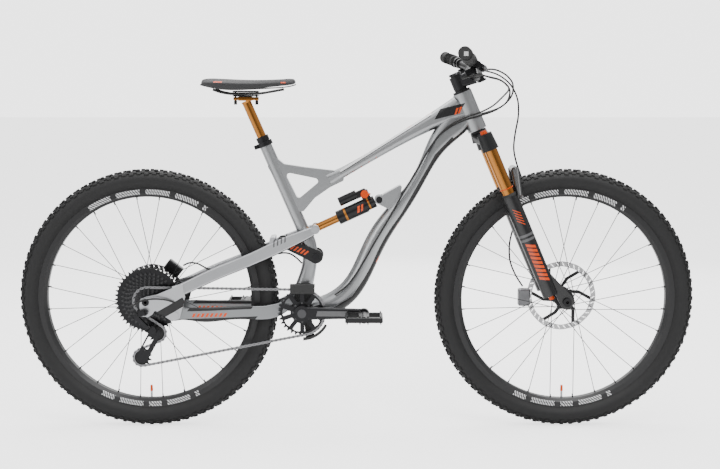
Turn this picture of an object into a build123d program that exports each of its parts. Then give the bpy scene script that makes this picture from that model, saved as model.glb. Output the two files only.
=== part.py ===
from build123d import *
import os
from math import atan2, cos, degrees, hypot, pi, radians, sin, sqrt, tan

# Trail bike with rear suspension. X forward, Y to the rider's left, Z up, millimetres.
# The origin is on the ground, midway between the two wheels. The rest pose has both
# suspension units fully extended and the drive-side crank level and forward.

# ---- driving dimensions ----
WHEELBASE = 1186.0
TYRE_R = 371.0  # outer radius of the 29 inch tyres
TYRE_W = 60.0
RIM_R = 317.0  # hook radius of the rims
RIM_W = 35.0
RIM_DEPTH = 25.0
SPOKES = 28
SPOKE_R = 1.0
HEAD_LEAN = 23.0  # of the steering axis, from vertical
HEAD_LENGTH = 116.0
FORK_LENGTH = 539.5  # crown race to front axle, along the steering axis
FORK_OFFSET = 42.6  # front axle ahead of the steering axis
LEG_OFFSET = 8.0  # fork legs ahead of the steering axis
LEG_Y = 66.0
STANCHION_R = 18.0
LOWER_R = 22.5
SEAT_LEAN = 23.5  # of the seat tube, from vertical
SEAT_TUBE_R = 17.5
POST_R = 15.45  # dropper outer tube
STAN_R = 13.0  # dropper inner tube
CRANK_LENGTH = 175.0
CHAINLINE = 52.5
CHAINRING_TEETH = 32
COGS = (46, 37, 32, 28, 25, 22, 19, 17, 15, 13, 11)
CHAIN_COG = 6  # which of COGS the chain lies on
PULLEY_TEETH = 12
PITCH = 12.7
BAR_W = 780.0
BAR_R = 11.1
BAR_CLAMP_R = 15.9
STEM_LENGTH = 50.0
GRIP_R = 16.0
GRIP_LENGTH = 132.0
FRONT_HUB_W = 110.0
REAR_HUB_W = 148.0
FRONT_AXLE_R = 7.5
REAR_AXLE_R = 6.0
AXLE_BORE_R = 4.0
FRONT_ROTOR_R = 100.0
REAR_ROTOR_R = 90.0
ROTOR_T = 1.8
SHOCK_EYE_R = 12.0
SHOCK_SHAFT_R = 11.5
SHOCK_CAN_R = 20.0
RUN = 0.05  # radial clearance of a running fit
GAP = 0.3  # clearance between faces that pass each other
LOOSE = 2.6  # radial clearance at the two open pivots of the linkage

# ---- named places, (x, z) in the bike's mid-plane ----
REAR = (-WHEELBASE / 2, TYRE_R)
FRONT = (WHEELBASE / 2, TYRE_R)
BB = (-154.0, 338.0)
MAIN_PIVOT = (-154.0, 391.0)
HORST = (-512.0, 334.0)
ROCKER_FRAME = (-115.0, 494.0)
ROCKER_STAY = (-212.0, 535.0)
SHOCK_STAY = (-116.5, 572.0)
SHOCK_FRAME = (64.5, 655.0)
SEAT_COLLAR = (-261.0, 817.0)
POST_SHOWN = 121.0  # collar to saddle clamp, along the seat tube
UP = (-sin(radians(HEAD_LEAN)), cos(radians(HEAD_LEAN)))  # up the steering axis
AHEAD = (UP[1], -UP[0])  # forward, square to the steering axis
CROWN = (
    FRONT[0] + FORK_LENGTH * UP[0] - FORK_OFFSET * AHEAD[0],
    FRONT[1] + FORK_LENGTH * UP[1] - FORK_OFFSET * AHEAD[1],
)
SEAT_UP = (-sin(radians(SEAT_LEAN)), cos(radians(SEAT_LEAN)))
SEAT_HEAD = (SEAT_COLLAR[0] + POST_SHOWN * SEAT_UP[0], SEAT_COLLAR[1] + POST_SHOWN * SEAT_UP[1])


# ---- helpers ----
def steer(along, ahead=0.0):
    """A mid-plane point, along up the steering axis from the crown race and ahead of it."""
    return (
        CROWN[0] + along * UP[0] + ahead * AHEAD[0],
        CROWN[1] + along * UP[1] + ahead * AHEAD[1],
    )


def p3(point, y=0.0):
    """A mid-plane point (x, z) moved sideways to y."""
    return (point[0], y, point[1])


def between(a, b, share):
    return tuple(p + share * (q - p) for p, q in zip(a, b))


def rod(a, b, r, r2=None):
    """A round bar between two 3-D points, tapering to r2."""
    start, end = Vector(*a), Vector(*b)
    axis = end - start
    place = Plane(origin=start, z_dir=axis.normalized())
    if r2 is None or r2 == r:
        return extrude(place * Circle(r), amount=axis.length)
    return loft([place * Circle(r), Plane(origin=end, z_dir=axis.normalized()) * Circle(r2)])


def pipe(a, b, r, bore):
    """A round bar with a hole of radius bore right through."""
    start, end = Vector(*a), Vector(*b)
    axis = (end - start).normalized()
    return rod(a, b, r) - rod(tuple(start - axis), tuple(end + axis), bore)


def pin(point, y0, y1, r, bore=0.0):
    """A cylinder across the bike at a mid-plane point, from y0 to y1."""
    if bore:
        return pipe(p3(point, y0), p3(point, y1), r, bore)
    return rod(p3(point, y0), p3(point, y1), r)


def slab(points, y0, y1, radius=0.0):
    """A side-view outline of (x, z) points, extruded from y0 to y1."""
    ring = [Vector(x, y0, z) for x, z in points]
    if radius:
        wire = FilletPolyline(*ring, radius=radius, close=True)
    else:
        wire = Polyline(*ring, close=True)
    return extrude(make_face(wire), amount=y1 - y0, dir=(0, 1, 0))


def hull_tube(stations):
    """A lofted tube. A station is (x, y, z), (dx, dz) of the run, width across, height, corner."""
    rings = []
    for (x, y, z), (dx, dz), width, height, corner in stations:
        place = Plane(origin=(x, y, z), x_dir=(0, 1, 0), z_dir=(dx, 0, dz))
        rings.append(place * RectangleRounded(width, height, corner))
    return loft(rings)


def mirrored(shape):
    return mirror(shape, about=Plane.XZ)


def bar_box(centre, x_dir, z_dir, size, radius=0.0):
    """A box of the given size on its own axes."""
    place = Plane(origin=centre, x_dir=x_dir, z_dir=z_dir)
    box = place.location * Box(*size)
    return fillet(box.edges(), radius) if radius else box


def around(point, y0, profile):
    """Revolves (radius, y) pairs about the axle through a mid-plane point; y counts from y0."""
    x, z = point
    ring = [Vector(x + r, y0 + y, z) for r, y in profile]
    return revolve(make_face(Polyline(*ring, close=True)), Axis((x, 0, z), (0, 1, 0)))


def save(name, *solids):
    """One node: every solid of it goes to one file."""
    whole = Compound(children=[s for item in solids for s in item.solids()])
    export_step(whole, f"parts/{name}.step")


def cord(points, r):
    """A round cord of straight runs joined by tangent arcs, each as large as its runs allow."""
    pts = [Vector(*p) for p in points]
    radii = []
    for a, b, c in zip(pts, pts[1:], pts[2:]):
        turn = radians((b - a).get_angle(c - b))
        radii.append(0.45 * min((b - a).length, (c - b).length) / tan(turn / 2))
    path = FilletPolyline(*pts, radius=radii)
    start = path % 0
    tube = sweep(Plane(origin=pts[0], z_dir=start) * Circle(r), path=path)
    share = tube.volume / (pi * r * r * path.length)
    print("cord radii", [round(v) for v in radii], "volume share", round(share, 4))
    return tube


# ---- wheels ----
def tyre(centre):
    """An open carcass whose beads sit inside the rim hooks."""
    half = TYRE_W / 2
    mid = TYRE_R - half
    wall, bead = 3.5, RIM_W / 2 - 2.5 - 0.4
    x, z = centre
    floor = RIM_R - 14 + GAP

    def at(r, y):
        return Vector(x + r, y, z)

    def on(radius, r, side=1):
        return at(r, side * sqrt(radius * radius - (r - mid) ** 2))

    outline = [
        Polyline(at(floor, bead - 3.2), at(floor, bead), at(RIM_R + 1, bead), on(half, RIM_R + 3)),
        ThreePointArc(on(half, RIM_R + 3), at(TYRE_R, 0), on(half, RIM_R + 3, -1)),
        Polyline(on(half, RIM_R + 3, -1), at(RIM_R + 1, -bead), at(floor, -bead), at(floor, 3.2 - bead)),
        Polyline(at(floor, 3.2 - bead), at(RIM_R + 2, 3.2 - bead), on(half - wall, RIM_R + 4.5, -1)),
        ThreePointArc(on(half - wall, RIM_R + 4.5, -1), at(TYRE_R - wall, 0), on(half - wall, RIM_R + 4.5)),
        Polyline(on(half - wall, RIM_R + 4.5), at(RIM_R + 2, bead - 3.2), at(floor, bead - 3.2)),
    ]
    edges = [e for part in outline for e in part.edges()]
    return revolve(make_face(Wire(edges)), Axis((x, 0, z), (0, 1, 0)))


def rim(centre):
    half, hook = RIM_W / 2, RIM_W / 2 - 2.5
    well, bed = RIM_R - 14, RIM_R - RIM_DEPTH
    side = [(RIM_R, hook), (RIM_R, half), (well - 1, half), (bed, half - 7)]
    inner = [(well, hook)]
    outline = inner + side + [(r, -y) for r, y in reversed(side)] + [(r, -y) for r, y in inner]
    return around(centre, 0, outline)


def spokes(centre, flanges, flange_r):
    """Crossed spokes, half to each flange, ending just short of the flange and the rim bed."""
    x, z = centre
    ends = RIM_R - RIM_DEPTH - 0.2
    step = 360 / SPOKES
    made = []
    for k in range(SPOKES):
        y_hub = flanges[k % 2]
        rim_angle = radians(90 + step / 2 + step * k)
        turn = 1 if (k // 2) % 2 else -1
        cross = radians(78) * turn
        hub_angle = rim_angle + cross
        start = (x + (flange_r + 1.3) * cos(hub_angle), y_hub + 1.7 * turn, z + (flange_r + 1.3) * sin(hub_angle))
        y_rim = (3.0 if y_hub > 0 else -3.0) + 0.8 * turn
        end = (x + ends * cos(rim_angle), y_rim, z + ends * sin(rim_angle))
        made.append(rod(start, end, SPOKE_R))
    return made


def hub(centre, half_width, flanges, flange_r, axle_r, body_r, right_end, left_end):
    """Hub shell with two spoke flanges; the ends reach the dropout faces less a clearance."""
    low, high = flanges
    shape = pin(centre, low - 4, high + 4, body_r)
    for y in flanges:
        shape += pin(centre, y - 1.6, y + 1.6, flange_r)
    shape += pin(centre, -half_width + GAP, low - 4, right_end)
    shape += pin(centre, high + 4, half_width - GAP, left_end)
    return shape - pin(centre, -half_width - 1, half_width + 1, axle_r + RUN)


def rotor(centre, y, radius, bore):
    """Brake disc: a slotted band on a six-armed spider."""
    disc = pin(centre, y, y + ROTOR_T, radius, radius - 15)
    disc += pin(centre, y, y + ROTOR_T, 27, bore)
    x, z = centre
    for k in range(6):
        a, b = radians(60 * k), radians(60 * k + 38)
        disc += slab(
            [
                (x + 24 * cos(a - 0.16), z + 24 * sin(a - 0.16)),
                (x + 24 * cos(a + 0.16), z + 24 * sin(a + 0.16)),
                (x + (radius - 10) * cos(b + 0.05), z + (radius - 10) * sin(b + 0.05)),
                (x + (radius - 10) * cos(b - 0.05), z + (radius - 10) * sin(b - 0.05)),
            ],
            y,
            y + ROTOR_T,
        )
    return disc


FRONT_FLANGES = (-26.0, 25.0)
REAR_FLANGES = (-21.0, 31.0)
FLANGE_R = 28.0
FRONT_ROTOR_Y = FRONT_HUB_W / 2 - 15
REAR_ROTOR_Y = REAR_HUB_W / 2 - 15
ROTOR_SEAT_R = 16.0
FREEHUB_R = 16.0


def wheel(name, centre, hub_w, flanges, axle_r, rotor_y, rotor_r, right_end):
    save(f"{name}_tyre", tyre(centre))
    save(f"{name}_rim", rim(centre))
    save(f"{name}_spokes", *spokes(centre, flanges, FLANGE_R))
    body = hub(centre, hub_w / 2, flanges, FLANGE_R, axle_r, 17.0, right_end, ROTOR_SEAT_R - 0.02)
    save(f"{name}_hub", body)
    save(f"{name}_rotor", rotor(centre, rotor_y, rotor_r, ROTOR_SEAT_R))


# ---- frame ----
def front_frame():
    """Front triangle in one piece: head, top, down and seat tubes, brace, shock bracket, shell."""
    down = hull_tube(
        [
            ((300, 0, 900), (0.6, 0.8), 42, 74, 18),
            ((252, 0, 841), (0.62, 0.78), 48, 66, 20),
            ((213, 0, 785), (0.53, 0.85), 56, 46, 20),
            ((139, 0, 656), (0.5, 0.866), 60, 44, 20),
            ((104, 0, 610), (0.5, 0.866), 62, 53, 24),
            ((13, 0, 445), (0.5, 0.866), 64, 58, 26),
            ((-22, 0, 392), (0.72, 0.69), 66, 60, 26),
            ((-90, 0, 349), (0.97, 0.24), 66, 58, 24),
            ((-150, 0, 341), (1, 0), 66, 52, 22),
        ]
    )
    top = hull_tube(
        [
            ((-78, 0, 712), (0.861, 0.509), 34, 36, 12),
            ((-33, 0, 735), (0.861, 0.509), 36, 29, 12),
            ((88, 0, 805), (0.861, 0.509), 38, 30, 13),
            ((203, 0, 870), (0.8265, 0.563), 40, 44, 16),
            ((296, 0, 915), (0.8, 0.6), 42, 74, 18),
        ]
    )
    collar = Vector(*p3(SEAT_COLLAR))
    foot = (-SEAT_UP[0], -SEAT_UP[1])
    seat = rod(p3(SEAT_COLLAR), (SEAT_COLLAR[0] + 290 * foot[0], 0, SEAT_COLLAR[1] + 290 * foot[1]), SEAT_TUBE_R)
    lower = hull_tube(
        [
            ((-150, 0, 562), (0.4, -0.917), 35, 35, 17),
            ((-133, 0, 500), (0.1, -1), 40, 42, 18),
            ((-137, 0, 455), (-0.15, -1), 42, 42, 18),
            ((-150, 0, 405), (-0.2, -1), 44, 50, 18),
            ((-154, 0, 345), (0, -1), 46, 54, 20),
        ]
    )
    head = rod(p3(steer(1.5)), p3(steer(HEAD_LENGTH)), 27)
    brace = slab(
        [(-252, 750), (-232, 778), (-205, 756), (-146, 747), (-60, 737), (-30, 712), (-75, 690), (-118, 660), (-150, 622), (-178, 618)],
        -13,
        13,
        7,
    )
    window = slab([(-205, 734), (-98, 712), (-166, 655)], -40, 40, 9)
    bracket = slab([(54, 663), (72, 668), (130, 700), (120, 640), (92, 628), (58, 645)], -21, 21, 5)
    bracket += pin(SHOCK_FRAME, -21, 21, 12.5)
    shock_space = slab([(20, 690), (82, 664), (76, 634), (20, 610)], -13.5, 13.5)
    shell = pin(BB, -36.5, 36.5, 24)
    pivot_lug = pin(MAIN_PIVOT, -24, 24, 17) + slab(
        [(MAIN_PIVOT[0] - 14, MAIN_PIVOT[1]), (MAIN_PIVOT[0] + 14, MAIN_PIVOT[1]), (BB[0] + 16, BB[1]), (BB[0] - 16, BB[1])], -24, 24
    )
    rocker_lug = pin(ROCKER_FRAME, -21, 21, 15) + slab(
        [(-140, 530), (ROCKER_FRAME[0], ROCKER_FRAME[1] + 14), (ROCKER_FRAME[0], ROCKER_FRAME[1] - 14), (-140, 478)], -21, 21
    )
    frame = down + top + seat + lower + head + brace + shell + pivot_lug + rocker_lug
    frame = frame - window
    frame = frame + (bracket - shock_space)
    # the head tube is bored for the cups, the seat tube for the post, the lugs for their bolts
    frame -= rod(p3(steer(0)), p3(steer(HEAD_LENGTH + 2)), 17)
    frame -= rod(p3(steer(0)), p3(steer(16)), HEAD_CUP_R)
    frame -= rod(p3(steer(HEAD_LENGTH - 14)), p3(steer(HEAD_LENGTH + 2)), HEAD_CUP_R)
    inner = (SEAT_COLLAR[0] + 262 * foot[0], 0, SEAT_COLLAR[1] + 262 * foot[1])
    frame -= rod(tuple(collar + Vector(*p3(SEAT_UP)) * 3), inner, POST_R + RUN)
    frame -= pin(BB, -40, 40, BB_CUP_R)
    frame -= pin(MAIN_PIVOT, -30, 30, PIVOT_R)
    frame -= pin(ROCKER_FRAME, -30, 30, PIVOT_R)
    frame -= pin(SHOCK_FRAME, -30, 30, SHOCK_BOLT_R)
    return frame


HEAD_CUP_R = 22.0
BB_CUP_R = 20.0
PIVOT_R = 6.0
SHOCK_BOLT_R = 5.0
STEERER_R = 14.3
SPINDLE_R = 12.0


def headset_cups():
    """Two pressed cups whose bore clears the steerer."""
    low = pipe(p3(steer(1.2)), p3(steer(16)), HEAD_CUP_R, STEERER_R + RUN)
    high = pipe(p3(steer(HEAD_LENGTH - 14)), p3(steer(HEAD_LENGTH + 6)), HEAD_CUP_R, STEERER_R + RUN)
    high += pipe(p3(steer(HEAD_LENGTH)), p3(steer(HEAD_LENGTH + 6)), 25, STEERER_R + RUN)
    return [low, high]


def bottom_bracket():
    made = []
    for side in (-1, 1):
        cup = pin(BB, side * 12, side * 36.5, BB_CUP_R, SPINDLE_R + RUN)
        cup += pin(BB, side * 36.5, side * 44, 22.5, SPINDLE_R + RUN)
        made.append(cup)
    return made


def frame_bolts():
    """The main pivot axle, the rocker axle and the shock's front bolt, with their heads."""
    main = pin(MAIN_PIVOT, -STAY_FRONT_OUT - 3, STAY_FRONT_OUT + 3, PIVOT_R)
    main += pin(MAIN_PIVOT, -STAY_FRONT_OUT - 3, -STAY_FRONT_OUT - GAP, 10)
    main += pin(MAIN_PIVOT, STAY_FRONT_OUT + GAP, STAY_FRONT_OUT + 3, 10)
    rocker_axle = pin(ROCKER_FRAME, -30.5, 30.5, PIVOT_R)
    rocker_axle += pin(ROCKER_FRAME, -30.5, -28 - GAP, 10) + pin(ROCKER_FRAME, 28 + GAP, 30.5, 10)
    shock = pin(SHOCK_FRAME, -24, 24, SHOCK_BOLT_R)
    shock += pin(SHOCK_FRAME, -24, -21, 9) + pin(SHOCK_FRAME, 21, 24, 9)
    return [main, rocker_axle, shock]


STAY_FRONT_IN, STAY_FRONT_OUT = 24.3, 36.0


def seat_collar():
    base = Vector(*p3(SEAT_COLLAR))
    up = Vector(*p3(SEAT_UP))
    ring = pipe(tuple(base - up * 11), tuple(base + up * 2), SEAT_TUBE_R + 4.5, SEAT_TUBE_R)
    ring += bar_box(tuple(base - up * 4.5 + Vector(-24, 0, -10)), (1, 0, 0.4), tuple(up), (12, 16, 12), 2)
    ring -= pipe(tuple(base - up * 60), tuple(base + up * 0), SEAT_TUBE_R, 1)
    return ring - rod(tuple(base - up * 60), tuple(base + up * 8), SEAT_TUBE_R)


def post_outer():
    base = Vector(*p3(SEAT_COLLAR))
    up = Vector(*p3(SEAT_UP))
    tube = pipe(tuple(base - up * 255), tuple(base + up * 3), POST_R, STAN_R + 1.2)
    top = pipe(tuple(base + up * 3), tuple(base + up * 18), SEAT_TUBE_R + 0.5, STAN_R + RUN)
    return tube + top


def dropper_post():
    base = Vector(*p3(SEAT_COLLAR))
    up = Vector(*p3(SEAT_UP))
    head = Vector(*p3(SEAT_HEAD))
    post = rod(tuple(base - up * 150), tuple(head), STAN_R)
    cradle = rod(tuple(head), tuple(head + up * 6), STAN_R, 15)
    cradle += bar_box(tuple(head + Vector(-4, 0, 12)), (1, 0, 0), (0, 0, 1), (40, 34, 12), 3)
    cradle += bar_box(tuple(head + Vector(-2, 0, 12)), (1, 0, 0), (0, 0, 1), (72, 14, 9), 2)
    for dx in CLAMP_BOLTS:
        cradle -= rod(tuple(head + Vector(dx, 0, -30)), tuple(head + Vector(dx, 0, 60)), 2.6)
    return post + cradle


def saddle_clamp():
    """Two clamp plates over the rails, held by two bolts through the cradle's ends."""
    head = Vector(*p3(SEAT_HEAD))
    plate = bar_box(tuple(head + Vector(-2, 0, 32.1)), (1, 0, 0), (0, 0, 1), (72, 54, 4.0), 1)
    low = bar_box(tuple(head + Vector(-2, 0, 20)), (1, 0, 0), (0, 0, 1), (72, 54, 3.2), 1)
    bolts = []
    for dx in CLAMP_BOLTS:
        foot = head + Vector(dx, 0, -5)
        bolt = rod(tuple(foot), tuple(head + Vector(dx, 0, 33.8)), 2.5)
        bolts.append(bolt + rod(tuple(foot), tuple(head + Vector(dx, 0, 7)), 4.5))
        through = rod(tuple(head + Vector(dx, 0, 10)), tuple(head + Vector(dx, 0, 60)), 2.6)
        plate, low = plate - through, low - through
    return [plate, low] + bolts


CLAMP_BOLTS = (-32.0, 28.0)  # ahead of the post's head
SADDLE_Z = SEAT_HEAD[1] + 68.0
RAIL_Z = SEAT_HEAD[1] + 25.5
SADDLE_X = (SEAT_HEAD[0] - 130.0, SEAT_HEAD[0] + 140.0)


def saddle_base():
    """The shell and its two rails."""
    back, nose = SADDLE_X
    shell = saddle_body(0.84, 3.4)
    x0 = SEAT_HEAD[0]
    rails = []
    for side in (-1, 1):
        route = [
            (x0 - 92, side * 35, SADDLE_Z - 30.1),
            (x0 - 72, side * 32, RAIL_Z + 5),
            (x0 - 45, side * 26, RAIL_Z),
            (x0 + 38, side * 24, RAIL_Z + 0.5),
            (x0 + 74, side * 17, RAIL_Z + 7),
            (x0 + 104, side * 10, SADDLE_Z - 30.1),
        ]
        rails.append(cord(route, 3.5))
    return [shell] + rails


def saddle_body(share, thick=0.0):
    """A loft along the saddle: wide at the back, narrow at the nose."""
    back, nose = SADDLE_X
    stations = (
        (0.01, 92, 14, 0.0),
        (0.12, 136, 22, 1.0),
        (0.3, 140, 26, -1.0),
        (0.5, 96, 24, -3.0),
        (0.72, 54, 22, -2.0),
        (0.93, 40, 18, -1.0),
        (0.995, 26, 10, -4.0),
    )
    rings = []
    for along, width, height, lift in stations:
        x = back + (nose - back) * along
        if share < 1:
            z, tall, wide = SADDLE_Z + lift - height - 0.8 - thick / 2, thick, width * share
        else:
            z, tall, wide = SADDLE_Z + lift - height / 2, height, width
        place = Plane(origin=(x, 0, z), x_dir=(0, 1, 0), z_dir=(1, 0, 0))
        rings.append(place * RectangleRounded(wide, tall, min(tall * 0.42, 9)))
    return loft(rings)


# ---- rear suspension ----
def seatstay():
    """Two arms from the shock to the dropouts, joined by a bridge ahead of the tyre."""
    arm = hull_tube(
        [
            ((-124, -34, 567), (-0.91, -0.41), 11, 26, 5),
            ((-160, -36.5, 551), (-0.91, -0.41), 12, 32, 5),
            ((-205, -38.5, 531), (-0.91, -0.41), 12, 36, 5),
            ((-283, -43, 495), (-0.91, -0.41), 13, 36, 5),
            ((-372, -53, 459), (-0.92, -0.39), 13, 35, 5),
            ((-450, -65, 425), (-0.92, -0.39), 12, 34, 5),
            ((-512, -74, 400), (-0.93, -0.37), 11, 34, 5),
        ]
    )
    x, z = REAR
    plate = slab(
        [
            (-488, 424),
            (-562, 393),
            (x + 4, z + 17),
            (x - 15, z + 10),
            (x - 17, z - 8),
            (x - 16, z - 40),
            (x + 14, z - 42),
            (x + 26, z - 22),
            (HORST[0] - 20, HORST[1] - 8),
            (HORST[0] - 6, HORST[1] - 17),
            (HORST[0] + 15, HORST[1] - 8),
            (-482, 384),
        ],
        -DROPOUT_Y - 8,
        -DROPOUT_Y - GAP,
        5,
    )
    hole = pin(REAR, -DROPOUT_Y - 20, -DROPOUT_Y + 5, REAR_AXLE_R + RUN)
    arm += plate + pin(SHOCK_STAY, -STAY_TIP_Y - 12, -STAY_TIP_Y, 12.5)
    arm -= pin(SHOCK_STAY, -60, -20, SHOCK_BOLT_R) + pin(ROCKER_STAY, -50, -20, PIVOT_R) + hole
    arm -= pin(HORST, -90, -60, PIVOT_R)
    arm -= pin(HANGER, -90, -60, HANGER_R)
    bridge = slab([(-248, 531), (-245, 549), (-230, 551), (-231, 528)], -38, 38, 4)
    stay = arm + mirrored(arm) + bridge
    outside = STAY_TIP_Y + 12
    shock_bolt = pin(SHOCK_STAY, -outside - 3, outside + 3, SHOCK_BOLT_R)
    for side in (-1, 1):
        shock_bolt += pin(SHOCK_STAY, side * outside, side * (outside + 3), 9)
        shock_bolt += pin(SHOCK_STAY, side * 12.2, side * STAY_TIP_Y, 8)
    link_bolt = pin(ROCKER_STAY, -47, -21, PIVOT_R)
    horst_bolt = pin(HORST, -DROPOUT_Y - 9, -62, PIVOT_R) + pin(HORST, -DROPOUT_Y - 11, -DROPOUT_Y - 8, 11)
    return [stay, shock_bolt, link_bolt, mirrored(link_bolt), horst_bolt, mirrored(horst_bolt)]


DROPOUT_Y = REAR_HUB_W / 2
STAY_TIP_Y = 28.5  # inner face of the seatstay's tips at the shock
HANGER = (REAR[0] - 1.0, REAR[1] - 27.0)
HANGER_R = 5.0


def chainstay():
    """Two arms and a yoke, hung on the main pivot and reaching inside the seatstay ends."""
    arm = hull_tube(
        [
            ((-505, -68.5, 334), (1, 0), 9, 34, 4),
            ((-450, -65, 334), (1, 0), 11, 40, 4),
            ((-380, -57, 335), (1, 0), 13, 40, 5),
            ((-300, -45, 336), (1, 0), 13, 40, 5),
            ((-238, -39.5, 339), (0.99, 0.12), 11, 40, 4.5),
            ((-190, -33, 364), (0.8, 0.6), 11, 30, 4.5),
            ((-160, -30.5, 389), (0.75, 0.66), 9, 26, 3.5),
        ]
    )
    arm += pin(HORST, -73.3, -64, 17) + pin(MAIN_PIVOT, -STAY_FRONT_OUT, -STAY_FRONT_IN, 17)
    arm -= pin(HORST, -80, -55, PIVOT_R + RUN) + pin(MAIN_PIVOT, -50, -10, PIVOT_R + RUN)
    yoke = slab([(-211, 334), (-214, 360), (-196, 372), (-189, 350)], -36, 36, 3)
    return arm + mirrored(arm) + yoke


def rocker():
    """One link plate each side of the seat tube."""
    a, b = Vector(*p3(ROCKER_FRAME)), Vector(*p3(ROCKER_STAY))
    along = (b - a).normalized()
    square = Vector(along.Z, 0, -along.X)
    corners = [a + square * 19, b + square * 13, b - square * 13, a - square * 19]
    plate = slab([(c.X, c.Z) for c in corners], -28, -21 - GAP)
    plate += pin(ROCKER_FRAME, -28, -21 - GAP, 20) + pin(ROCKER_STAY, -28, -21 - GAP, 14)
    plate -= pin(ROCKER_FRAME, -40, -10, PIVOT_R + RUN)
    plate -= pin(ROCKER_STAY, -40, -10, PIVOT_R + LOOSE)
    return [plate, mirrored(plate)]


def shock_point(distance, side=0.0):
    """A point along the shock from its rear eye, and square to it on the upper side."""
    dx, dz = SHOCK_FRAME[0] - SHOCK_STAY[0], SHOCK_FRAME[1] - SHOCK_STAY[1]
    span = hypot(dx, dz)
    return (
        SHOCK_STAY[0] + (dx * distance - dz * side) / span,
        SHOCK_STAY[1] + (dz * distance + dx * side) / span,
    )


SHOCK_LENGTH = hypot(SHOCK_FRAME[0] - SHOCK_STAY[0], SHOCK_FRAME[1] - SHOCK_STAY[1])


def shock_body():
    """Air can, end cap with its eye and the piggyback reservoir."""
    eye = pin(SHOCK_FRAME, -13, 13, SHOCK_EYE_R)
    can = rod(p3(shock_point(70)), p3(shock_point(160)), SHOCK_CAN_R)
    cap = rod(p3(shock_point(160)), p3(shock_point(186)), 17)
    tank = rod(p3(shock_point(92, 40)), p3(shock_point(146, 40)), 13)
    neck = bar_box(p3(shock_point(168, 20)), (1, 0, 0.46), (0, 1, 0), (24, 44, 22), 4)
    arm = bar_box(p3(shock_point(158, 37)), (1, 0, 0.46), (0, 1, 0), (34, 20, 22), 4)
    body = eye + can + cap + tank + neck + arm
    body -= rod(p3(shock_point(60)), p3(shock_point(176)), SHOCK_SHAFT_R + RUN)
    body -= pin(SHOCK_KNOB, -30, -6, 5 + RUN)
    return body - pin(SHOCK_FRAME, -20, 20, SHOCK_BOLT_R + RUN)


SHOCK_KNOB = shock_point(168, 32)


def shock_knob():
    knob = pin(SHOCK_KNOB, -22, -12, 11) + pin(SHOCK_KNOB, -12, -7, 5)
    x, z = SHOCK_KNOB
    return knob + slab([(x, z - 3), (x + 17, z - 1), (x + 17, z + 3), (x, z + 3)], -21, -17)


def shock_shaft():
    eye = pin(SHOCK_STAY, -11, 11, SHOCK_EYE_R)
    shaft = eye + rod(p3(shock_point(6)), p3(shock_point(118)), SHOCK_SHAFT_R)
    return shaft - pin(SHOCK_STAY, -20, 20, SHOCK_BOLT_R + LOOSE)


def caliper(centre, rotor_y, radial, feet):
    """A brake caliper astride the disc with its two pads; radial points out from the axle."""
    x, z = centre
    rx, rz = radial
    mid = rotor_y + ROTOR_T / 2
    body = bar_box((x, mid, z), (-rz, 0, rx), (0, 1, 0), (50, 34, 30), 5)
    slot = bar_box((x - 12 * rx, mid, z - 12 * rz), (-rz, 0, rx), (0, 1, 0), (70, 40, 7))
    body -= slot
    for foot in feet:
        body += rod((foot[0][0], foot[0][1], foot[0][2]), (foot[1][0], foot[1][1], foot[1][2]), 6)
    pads = []
    for side in (-1, 1):
        y = mid + side * 2.1
        pads.append(bar_box((x - 8 * rx, y, z - 8 * rz), (-rz, 0, rx), (0, 1, 0), (26, 16, 2)))
    return [body] + pads


def rear_axle():
    axle = pin(REAR, -DROPOUT_Y - 9, DROPOUT_Y + 9, REAR_AXLE_R, AXLE_BORE_R)
    ends = pin(REAR, -DROPOUT_Y - 11, -DROPOUT_Y - 8, 10, AXLE_BORE_R)
    return axle + ends + pin(REAR, DROPOUT_Y + 8, DROPOUT_Y + 11, 10, AXLE_BORE_R)


# ---- fork ----
CROWN_LOW = 60.0  # crown legs end this far below the crown race
WIPERS = 200.0  # top of the lowers below the crown race
LEG_END = 505.0


def fork_crown():
    """Crown with its steerer, and the left leg's air cap."""
    steerer = pipe(p3(steer(-6)), p3(steer(HEAD_LENGTH + 52)), STEERER_R, 12)
    crown = rod(p3(steer(-30)), p3(steer(-1)), 27, 23)
    for side in (-1, 1):
        leg = rod(p3(steer(-CROWN_LOW, LEG_OFFSET), side * LEG_Y), p3(steer(-12, LEG_OFFSET), side * LEG_Y), 24, 21)
        place = [
            Plane(origin=p3(steer(-18), side * 6), x_dir=p3(AHEAD), z_dir=(0, side, 0)) * RectangleRounded(48, 34, 12),
            Plane(origin=p3(steer(-30, LEG_OFFSET), side * 62), x_dir=p3(AHEAD), z_dir=(0, side, 0)) * RectangleRounded(38, 30, 12),
        ]
        crown += leg + loft(place)
    crown -= rod(p3(steer(-40)), p3(steer(-2)), 12)
    for side in (-1, 1):
        crown -= rod(
            p3(steer(-CROWN_LOW - 1, LEG_OFFSET), side * LEG_Y), p3(steer(-20, LEG_OFFSET), side * LEG_Y), STANCHION_R
        )
    crown -= rod(p3(steer(-22, LEG_OFFSET), -LEG_Y), p3(steer(-10, LEG_OFFSET), -LEG_Y), 4 + RUN)
    cap = rod(p3(steer(-12, LEG_OFFSET), LEG_Y), p3(steer(-7, LEG_OFFSET), LEG_Y), 15, 12)
    return [crown + steerer, cap]


def stanchions():
    made = []
    for side in (-1, 1):
        y = side * LEG_Y
        made.append(pipe(p3(steer(-330, LEG_OFFSET), y), p3(steer(-20, LEG_OFFSET), y), STANCHION_R, STANCHION_R - 3))
    return made


def compression_knob():
    y = -LEG_Y
    knob = rod(p3(steer(-12 + GAP, LEG_OFFSET), y), p3(steer(-3, LEG_OFFSET), y), 10, 9)
    return knob + rod(p3(steer(-19.5, LEG_OFFSET), y), p3(steer(-11, LEG_OFFSET), y), 4)


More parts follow.
